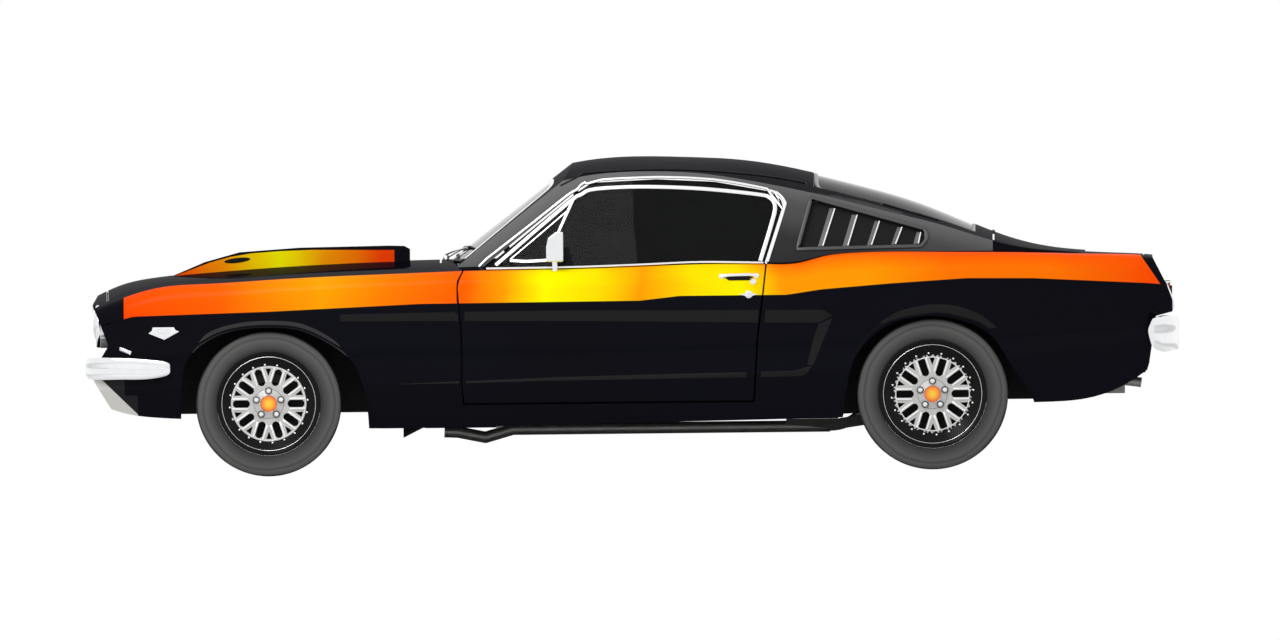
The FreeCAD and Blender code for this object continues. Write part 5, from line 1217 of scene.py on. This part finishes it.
class CAR_OT_cabin(Step):
    """Plain gauges, dash pad, mirrors, gear lever, pedals and door trim"""
    bl_idname = "muscle_car.cabin"
    bl_label = "Cabin"

    def build(self, sizes):
        face, back = -0.5985, np.array((1.0, 0.0, 0.0))
        dials = [(-0.440, 0.748, 0.056), (-0.300, 0.748, 0.056), (-0.540, 0.762, 0.030), (-0.370, 0.802, 0.022),
                 (-0.205, 0.762, 0.030)]
        rings, faces, marks = [], [], []
        for y, z, radius in dials:
            centre = (face, y, z)
            rings.append(turned([(radius - 0.003, 0.0), (radius - 0.002, 0.011), (radius + 0.001, 0.013),
                                 (radius + 0.004, 0.010), (radius + 0.005, 0.0)], centre, back, 48))
            faces.append(turned([(0.0, 0.0020), (radius - 0.003, 0.0020), (radius - 0.003, 0.0), (0.0, 0.0)], centre,
                                back, 48))
            for k in range(-4, 5):
                angle = math.radians(30 * k + 90)
                spot = np.array((face + 0.0022, y + 0.80 * radius * math.cos(angle),
                                 z + 0.80 * radius * math.sin(angle)))
                marks.append(bulk(spot, (0.0005, 0.0013, 0.0013), power=0.5, rows=5, count=8))
            tip = np.array((face + 0.004, y - 0.35 * radius, z + 0.55 * radius))
            marks.append(carried(np.linspace((face + 0.004, y, z), tip, 4), oval(0.0011, 0.0006, 1.0, 6), back))
        piece("gauge_rings", rings, "chrome", "shell")
        piece("gauge_faces", faces, "gauge_face", "shell")
        piece("gauge_marks", marks, "gauge_mark", "shell")

        y = np.linspace(-0.640, 0.640, 41)
        brow = np.column_stack([np.full_like(y, -0.592), y, np.full_like(y, 0.832)])
        lid = [(0.200, 0.655), (0.560, 0.655), (0.560, 0.775), (0.200, 0.775)]
        ring = np.array([(face + 0.001, *p) for k in range(4)
                         for p in np.linspace(lid[k], lid[(k + 1) % 4], 8, endpoint=False)])
        knobs = [turned([(0.0, 0.020), (0.008, 0.020), (0.010, 0.016), (0.010, 0.002), (0.013, 0.0)], (face, y0, z0),
                        back, 20)
                 for y0, z0 in ((-0.075, 0.705), (0.075, 0.705), (-0.110, 0.775), (0.110, 0.775), (0.530, 0.715))]
        piece("dash_trim", knobs + [carried(ring, oval(0.0018, 0.0022, 0.8, 8), back, closed=True),
                                    bulk((face + 0.002, 0.0, 0.705), (0.003, 0.055, 0.022), power=0.15)],
              "bright_trim", "shell")
        piece("dash_pad", [carried(brow, oval(0.030, 0.013, 0.7, 20), (0, 0, 1)),
                           bulk((-0.640, 0.0, 0.560), (0.070, 0.100, 0.072), power=0.2)],
              "cabin_grain", "shell")

        boot = [(0.062, 0.0), (0.055, 0.012), (0.036, 0.028), (0.022, 0.050), (0.012, 0.066), (0.0, 0.066)]
        lever = smooth([(-0.215, 0.0, 0.440), (-0.190, 0.0, 0.520), (-0.135, 0.0, 0.600)], 8)
        piece("gear_boot", [turned(boot, (-0.215, 0.0, 0.385), (0, 0, 1), 32),
                            bulk((-0.120, 0.0, 0.388), (0.230, 0.075, 0.010), power=0.2)],
              "seal_rubber", "shell")
        piece("gear_lever", [carried(lever, oval(0.0055, 0.0055, 1.0, 12), (0, 1, 0)),
                             bulk((-0.132, 0.0, 0.606), (0.011, 0.046, 0.011), power=0.6),
                             turned([(0.0, 0.006), (0.018, 0.006), (0.024, 0.0), (0.0, 0.0)], (-0.215, 0.0, 0.440),
                                    (0, 0, 1), 24)],
              "chrome", "shell")
        pads, arms = [], []
        for y0, tall in ((-0.455, 0.030), (-0.365, 0.030), (-0.265, 0.055)):
            pads.append(bulk((-0.690, y0, 0.345), (0.008, 0.028, tall), power=0.25))
            arms.append(carried(smooth([(-0.698, y0, 0.345), (-0.715, y0, 0.450), (-0.700, y0, 0.640)], 6),
                                oval(0.006, 0.004, 0.8, 8), (1, 0, 0)))
        piece("pedal_pads", pads, "seal_rubber", "shell")
        piece("pedal_arms", arms, "satin_black", "shell")

        stalk = smooth([(-0.262, 0.0, 1.226), (-0.240, 0.0, 1.200), (-0.232, 0.0, 1.165)], 6)
        piece("cabin_mirror", [bulk((-0.228, 0.0, 1.150), (0.009, 0.118, 0.026), power=0.4),
                               carried(stalk, oval(0.005, 0.004, 1.0, 10), (0, 1, 0))],
              "satin_black", "shell")
        piece("cabin_mirror_glass", [bulk((-0.2175, 0.0, 1.150), (0.0016, 0.110, 0.021), power=0.4)],
              "mirror_glass", "shell")
        low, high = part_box("mirror")
        piece("door_mirror_glass", [bulk((high.x - 0.0002, (low.y + high.y) / 2 - 0.006, high.z - 0.047),
                                         (0.0016, 0.040, 0.036), power=0.7)], "mirror_glass", "left_door")

        axle = np.array((0.943858, 0.0, 0.330350))
        hub = np.array((-0.4632, -0.3464, 0.7836))
        piece("horn_button", [turned([(0.0, 0.024), (0.020, 0.022), (0.030, 0.016), (0.033, 0.010), (0.036, 0.010),
                                      (0.038, 0.002), (0.0, 0.002)], hub + axle * 0.006, axle, 40)],
              "chrome", "hand_wheel")

        for hand, side in SIDES:
            body, y = hand + "_door", side * 0.690
            pad = [bulk((-0.080, side * 0.666, 0.540), (0.200, 0.026, 0.026), power=0.35),
                   bulk((-0.080, side * 0.6868, 0.700), (0.520, 0.0030, 0.090), power=0.12),
                   bulk((-0.080, side * 0.6868, 0.430), (0.520, 0.0030, 0.105), power=0.12)]
            piece("door_trim_" + hand, pad, "cabin_grain", body)
            inward = (0, -side, 0)
            crank = [turned([(0.0, 0.012), (0.017, 0.012), (0.020, 0.008), (0.020, 0.0)], (-0.330, y, 0.560), inward,
                            24),
                     carried(np.linspace((-0.330, y - side * 0.012, 0.560), (-0.235, y - side * 0.016, 0.535), 6),
                             oval(0.007, 0.0035, 0.8, 8), inward),
                     turned([(0.0, 0.030), (0.009, 0.030), (0.011, 0.022), (0.009, 0.0), (0.0, 0.0)],
                            (-0.235, y - side * 0.014, 0.535), inward, 20),
                     carried(smooth([(-0.480, y - side * 0.003, 0.700), (-0.450, y - side * 0.016, 0.702),
                                     (-0.390, y - side * 0.016, 0.704)], 5), oval(0.006, 0.004, 0.8, 8), inward),
                     bulk((-0.080, side * 0.6855, 0.5750), (0.520, 0.0030, 0.0035), power=0.2)]
            piece("door_controls_" + hand, crank, "chrome", body)


class CAR_OT_engine_dress(Step):
    """Air cleaner, rocker covers, fan, radiator, battery and hoses around the plain block"""
    bl_idname = "muscle_car.engine_dress"
    bl_label = "Engine Bay"

    def build(self, sizes):
        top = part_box("engine")[1].z
        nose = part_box("engine")[0].x
        up, ahead = (0, 0, 1), (-1, 0, 0)
        lid = [(0.0, 0.058), (0.020, 0.058), (0.026, 0.053), (0.120, 0.051), (0.150, 0.049), (0.158, 0.044),
               (0.158, 0.034)]
        rings = [(0.148 + 0.0030 * math.cos(1.2 * k), 0.034 - 0.0022 * k) for k in range(11)]
        drum = [(0.158, 0.012), (0.162, 0.009), (0.162, 0.003), (0.150, 0.0), (0.0, 0.0)]
        centre = (-1.225, 0.0, top)
        piece("air_cleaner", [turned(lid + [(0.150, 0.034)], centre, up, 72),
                              turned([(0.150, 0.012)] + drum, centre, up, 72),
                              turned([(0.0, 0.069), (0.004, 0.069), (0.004, 0.060), (0.011, 0.060), (0.011, 0.056)],
                                     centre, up, 12)],
              "chrome", "shell")
        piece("air_filter", [turned(rings, centre, up, 72)], "gauge_mark", "shell")
        covers = []
        for side in (-1, 1):
            covers.append(bulk((-1.245, side * 0.212, top + 0.020), (0.255, 0.044, 0.022), power=0.22))
            for k in range(7):
                covers.append(bulk((-1.245, side * (0.186 + 0.0088 * k), top + 0.041), (0.215, 0.0018, 0.0035),
                                   power=0.3, rows=7, count=16))
        covers.append(bulk((-1.245, 0.0, top + 0.001), (0.240, 0.125, 0.010), power=0.2))
        piece("rocker_covers", covers, "wheel_silver", "shell")
        caps = [turned([(0.0, 0.022), (0.018, 0.022), (0.022, 0.018), (0.022, 0.0)], (-1.430, -0.212, top + 0.040),
                       up, 24),
                bulk((-1.500, 0.070, top + 0.026), (0.030, 0.030, 0.028), power=0.6)]
        piece("engine_caps", caps, "satin_black", "shell")

        fan_centre = np.array((nose, 0.0, 0.560))
        blades = []
        for k in range(5):
            angle = 2 * math.pi * k / 5
            out = np.array((0.0, math.cos(angle), math.sin(angle)))
            round_way = np.array((0.0, -math.sin(angle), math.cos(angle)))
            path = fan_centre + np.array((-0.062, 0, 0)) + out * np.linspace(0.030, 0.168, 9)[:, None]
            blades.append(carried(path, oval(0.0014, 0.032, 0.6, 12), round_way * 0.85 + np.array((0.53, 0, 0))))
        piece("fan_blades", blades, "dull_steel", "shell")
        hub = [(0.0, 0.072), (0.034, 0.070), (0.040, 0.062), (0.040, 0.050), (0.066, 0.046), (0.060, 0.038),
               (0.066, 0.030), (0.066, 0.020), (0.046, 0.016), (0.046, -0.004)]
        crank_hub = [(0.0, 0.030), (0.030, 0.030), (0.072, 0.028), (0.064, 0.020), (0.072, 0.012), (0.040, 0.008),
                     (0.040, -0.004)]
        piece("pulleys", [turned(hub, fan_centre, ahead, 40), turned(crank_hub, (nose, 0.0, 0.360), ahead, 40)],
              "satin_black", "shell")

        tubes = [bulk((-2.015, 0.0, 0.535), (0.016, 0.290, 0.140), power=0.12, rows=21, count=64)]
        piece("radiator_core", tubes, "honeycomb", "shell")
        tanks = [bulk((-2.014, 0.0, z), (0.034, 0.310, 0.026), power=0.3) for z in (0.690, 0.380)]
        tanks += [bulk((-2.014, side * 0.302, 0.535), (0.030, 0.012, 0.160), power=0.2) for side in (-1, 1)]
        tanks.append(turned([(0.0, 0.020), (0.024, 0.020), (0.028, 0.014), (0.018, 0.010), (0.018, 0.0)],
                            (-2.014, 0.08, 0.708), up, 24))
        piece("radiator_tanks", tanks, "satin_black", "shell")
        hoses = [smooth([(-1.990, -0.200, 0.690), (-1.900, -0.200, 0.700), (-1.700, -0.120, 0.760),
                         (-1.560, -0.060, 0.770), (-1.500, -0.050, 0.786)], 7),
                 smooth([(-1.990, 0.220, 0.380), (-1.900, 0.225, 0.385), (-1.720, 0.200, 0.430),
                         (-1.600, 0.150, 0.470), (-1.530, 0.130, 0.480)], 7)]
        piece("radiator_hoses", [carried(path, oval(0.020, 0.020, 1.0, 16), (0, 0, 1)) for path in hoses],
              "seal_rubber", "shell")
        battery = [bulk((-1.960, 0.430, 0.435), (0.076, 0.060, 0.092), power=0.12)]
        piece("battery", battery, "satin_black", "shell")
        posts = [turned([(0.0, 0.012), (0.007, 0.012), (0.009, 0.0)], (-1.960 + along, 0.455, 0.525), up, 16)
                 for along in (-0.050, 0.050)]
        posts.append(carried([(-2.030, 0.430, 0.528), (-1.960, 0.430, 0.530), (-1.890, 0.430, 0.528)],
                             oval(0.007, 0.002, 0.7, 8), up))
        piece("battery_posts", posts, "dull_steel", "shell")
        brake = [turned([(0.0, 0.110), (0.012, 0.106), (0.020, 0.030), (0.030, 0.028), (0.030, -0.002)],
                        (-0.800, -0.300, 0.620), ahead, 28),
                 bulk((-0.860, -0.300, 0.652), (0.048, 0.022, 0.018), power=0.3)]
        piece("brake_cylinder", brake, "cast_iron", "shell")


class CAR_OT_stage(Step):
    """Pale floor, soft light and the camera of the side view"""
    bl_idname = "muscle_car.stage"
    bl_label = "Studio"

    def build(self, sizes):
        floor = bpy.data.meshes.new("studio_floor")
        u, v = np.meshgrid(np.linspace(-40, 40, 9), np.linspace(-40, 40, 9), indexing="ij")
        points, faces = grid(np.stack([u, v, np.full_like(u, -0.0004)], -1))
        floor.from_pydata(points.tolist(), [], faces.tolist())
        ground = bpy.data.objects.new("studio_floor", floor)
        bpy.context.scene.collection.objects.link(ground)
        pale = Finish("studio_floor", Roughness=0.9, Specular_IOR_Level=0.1)
        pale.colour(pale.mix(pale.noise(0.6, 2.0), (0.86, 0.86, 0.86), (0.90, 0.90, 0.90)))
        floor.materials.append(pale.material)

        world = bpy.data.worlds.new("studio")
        bpy.context.scene.world = world
        world.use_nodes = True
        tree = world.node_tree
        dim = tree.nodes["Background"]
        dim.inputs["Color"].default_value = (1.0, 1.0, 1.0, 1.0)
        dim.inputs["Strength"].default_value = sizes.room_light
        white = tree.nodes.new("ShaderNodeBackground")
        white.inputs["Color"].default_value = (1.0, 1.0, 1.0, 1.0)
        white.inputs["Strength"].default_value = 1.0
        path = tree.nodes.new("ShaderNodeLightPath")
        seen = path.outputs["Is Camera Ray"]
        for kind in ("Is Transmission Ray", "Is Glossy Ray"):
            most = tree.nodes.new("ShaderNodeMath")
            most.operation = "MAXIMUM"
            tree.links.new(seen, most.inputs[0])
            tree.links.new(path.outputs[kind], most.inputs[1])
            seen = most.outputs[0]
        mix = tree.nodes.new("ShaderNodeMixShader")
        tree.links.new(seen, mix.inputs[0])
        tree.links.new(dim.outputs[0], mix.inputs[1])
        tree.links.new(white.outputs[0], mix.inputs[2])
        tree.links.new(mix.outputs[0], tree.nodes["World Output"].inputs["Surface"])

        for name, place, size, power in (("key", (-3.0, -6.0, 6.0), 5.0, sizes.key_light),
                                         ("fill", (4.0, 6.0, 6.0), 5.0, sizes.key_light * 0.5)):
            lamp = bpy.data.lights.new(name, "AREA")
            lamp.shape = "DISK"
            lamp.size = size
            lamp.energy = power
            thing = bpy.data.objects.new(name, lamp)
            thing.location = place
            thing.rotation_euler = (Vector((0, 0, 0.5)) - Vector(place)).to_track_quat("-Z", "Y").to_euler()
            bpy.context.scene.collection.objects.link(thing)

        lens = bpy.data.cameras.new("side_view")
        lens.type = "ORTHO"
        lens.ortho_scale = sizes.view_width
        lens.clip_end = 100.0
        camera = bpy.data.objects.new("side_view", lens)
        camera.location = (sizes.view_x, -20.0, sizes.view_z)
        camera.rotation_euler = (math.radians(90), sizes.view_roll, 0)
        bpy.context.scene.collection.objects.link(camera)
        bpy.context.scene.camera = camera
        bpy.context.scene.view_settings.view_transform = "Standard"


class CarSizes(bpy.types.PropertyGroup):
    """Sizes and levels that a user may change"""
    tread_depth: bpy.props.FloatProperty(
        name="Tread Depth", description="Depth of the tyre grooves", default=0.006, unit="LENGTH", subtype="DISTANCE")
    cushion_swell: bpy.props.FloatProperty(
        name="Cushion Swell", description="Farthest that air pushes a cushion's surface out", default=0.022,
        unit="LENGTH", subtype="DISTANCE")
    cushion_cell: bpy.props.FloatProperty(
        name="Cushion Cell", description="Size of the cells that a cushion is simulated with", default=0.010,
        unit="LENGTH", subtype="DISTANCE")
    channel_depth: bpy.props.FloatProperty(
        name="Channel Depth", description="Depth of the sewn channels of the seats", default=0.007, unit="LENGTH",
        subtype="DISTANCE")
    room_light: bpy.props.FloatProperty(
        name="Room Light", description="Strength of the light that comes from all round", default=0.75)
    key_light: bpy.props.FloatProperty(
        name="Key Light", description="Power of the largest lamp in watts", default=260.0)
    view_width: bpy.props.FloatProperty(
        name="View Width", description="Width that the camera takes in", default=5.288, unit="LENGTH",
        subtype="DISTANCE")
    view_x: bpy.props.FloatProperty(
        name="View Along", description="Where the camera looks along the car", default=0.033, unit="LENGTH",
        subtype="DISTANCE")
    view_z: bpy.props.FloatProperty(
        name="View Height", description="Height at which the camera looks", default=0.630, unit="LENGTH",
        subtype="DISTANCE")
    view_roll: bpy.props.FloatProperty(
        name="View Roll", description="Turn of the camera about its own line of sight", default=math.radians(0.604),
        unit="ROTATION", subtype="ANGLE")


STEPS = (CAR_OT_finishes, CAR_OT_tyres, CAR_OT_wheels, CAR_OT_side_trim, CAR_OT_screen_trim, CAR_OT_nose, CAR_OT_tail,
         CAR_OT_doors, CAR_OT_louvres, CAR_OT_scoop, CAR_OT_seals, CAR_OT_seats, CAR_OT_cabin, CAR_OT_engine_dress,
         CAR_OT_stage)


class CAR_PT_build(bpy.types.Panel):
    """The steps of the build, in order"""
    bl_label = "Muscle Car"
    bl_idname = "CAR_PT_build"
    bl_space_type = "VIEW_3D"
    bl_region_type = "UI"
    bl_category = "Muscle Car"

    def draw(self, context):
        for step in STEPS:
            self.layout.operator(step.bl_idname)
        for key in CarSizes.__annotations__:
            self.layout.prop(context.scene.muscle_car, key)


CLASSES = (CarSizes,) + STEPS + (CAR_PT_build,)


def register():
    for item in CLASSES:
        bpy.utils.register_class(item)
    bpy.types.Scene.muscle_car = bpy.props.PointerProperty(type=CarSizes)


def unregister():
    del bpy.types.Scene.muscle_car
    for item in reversed(CLASSES):
        bpy.utils.unregister_class(item)


def main():
    register()
    for step in STEPS:
        getattr(bpy.ops.muscle_car, step.bl_idname.split(".")[1])()


if __name__ == "__main__":
    main()
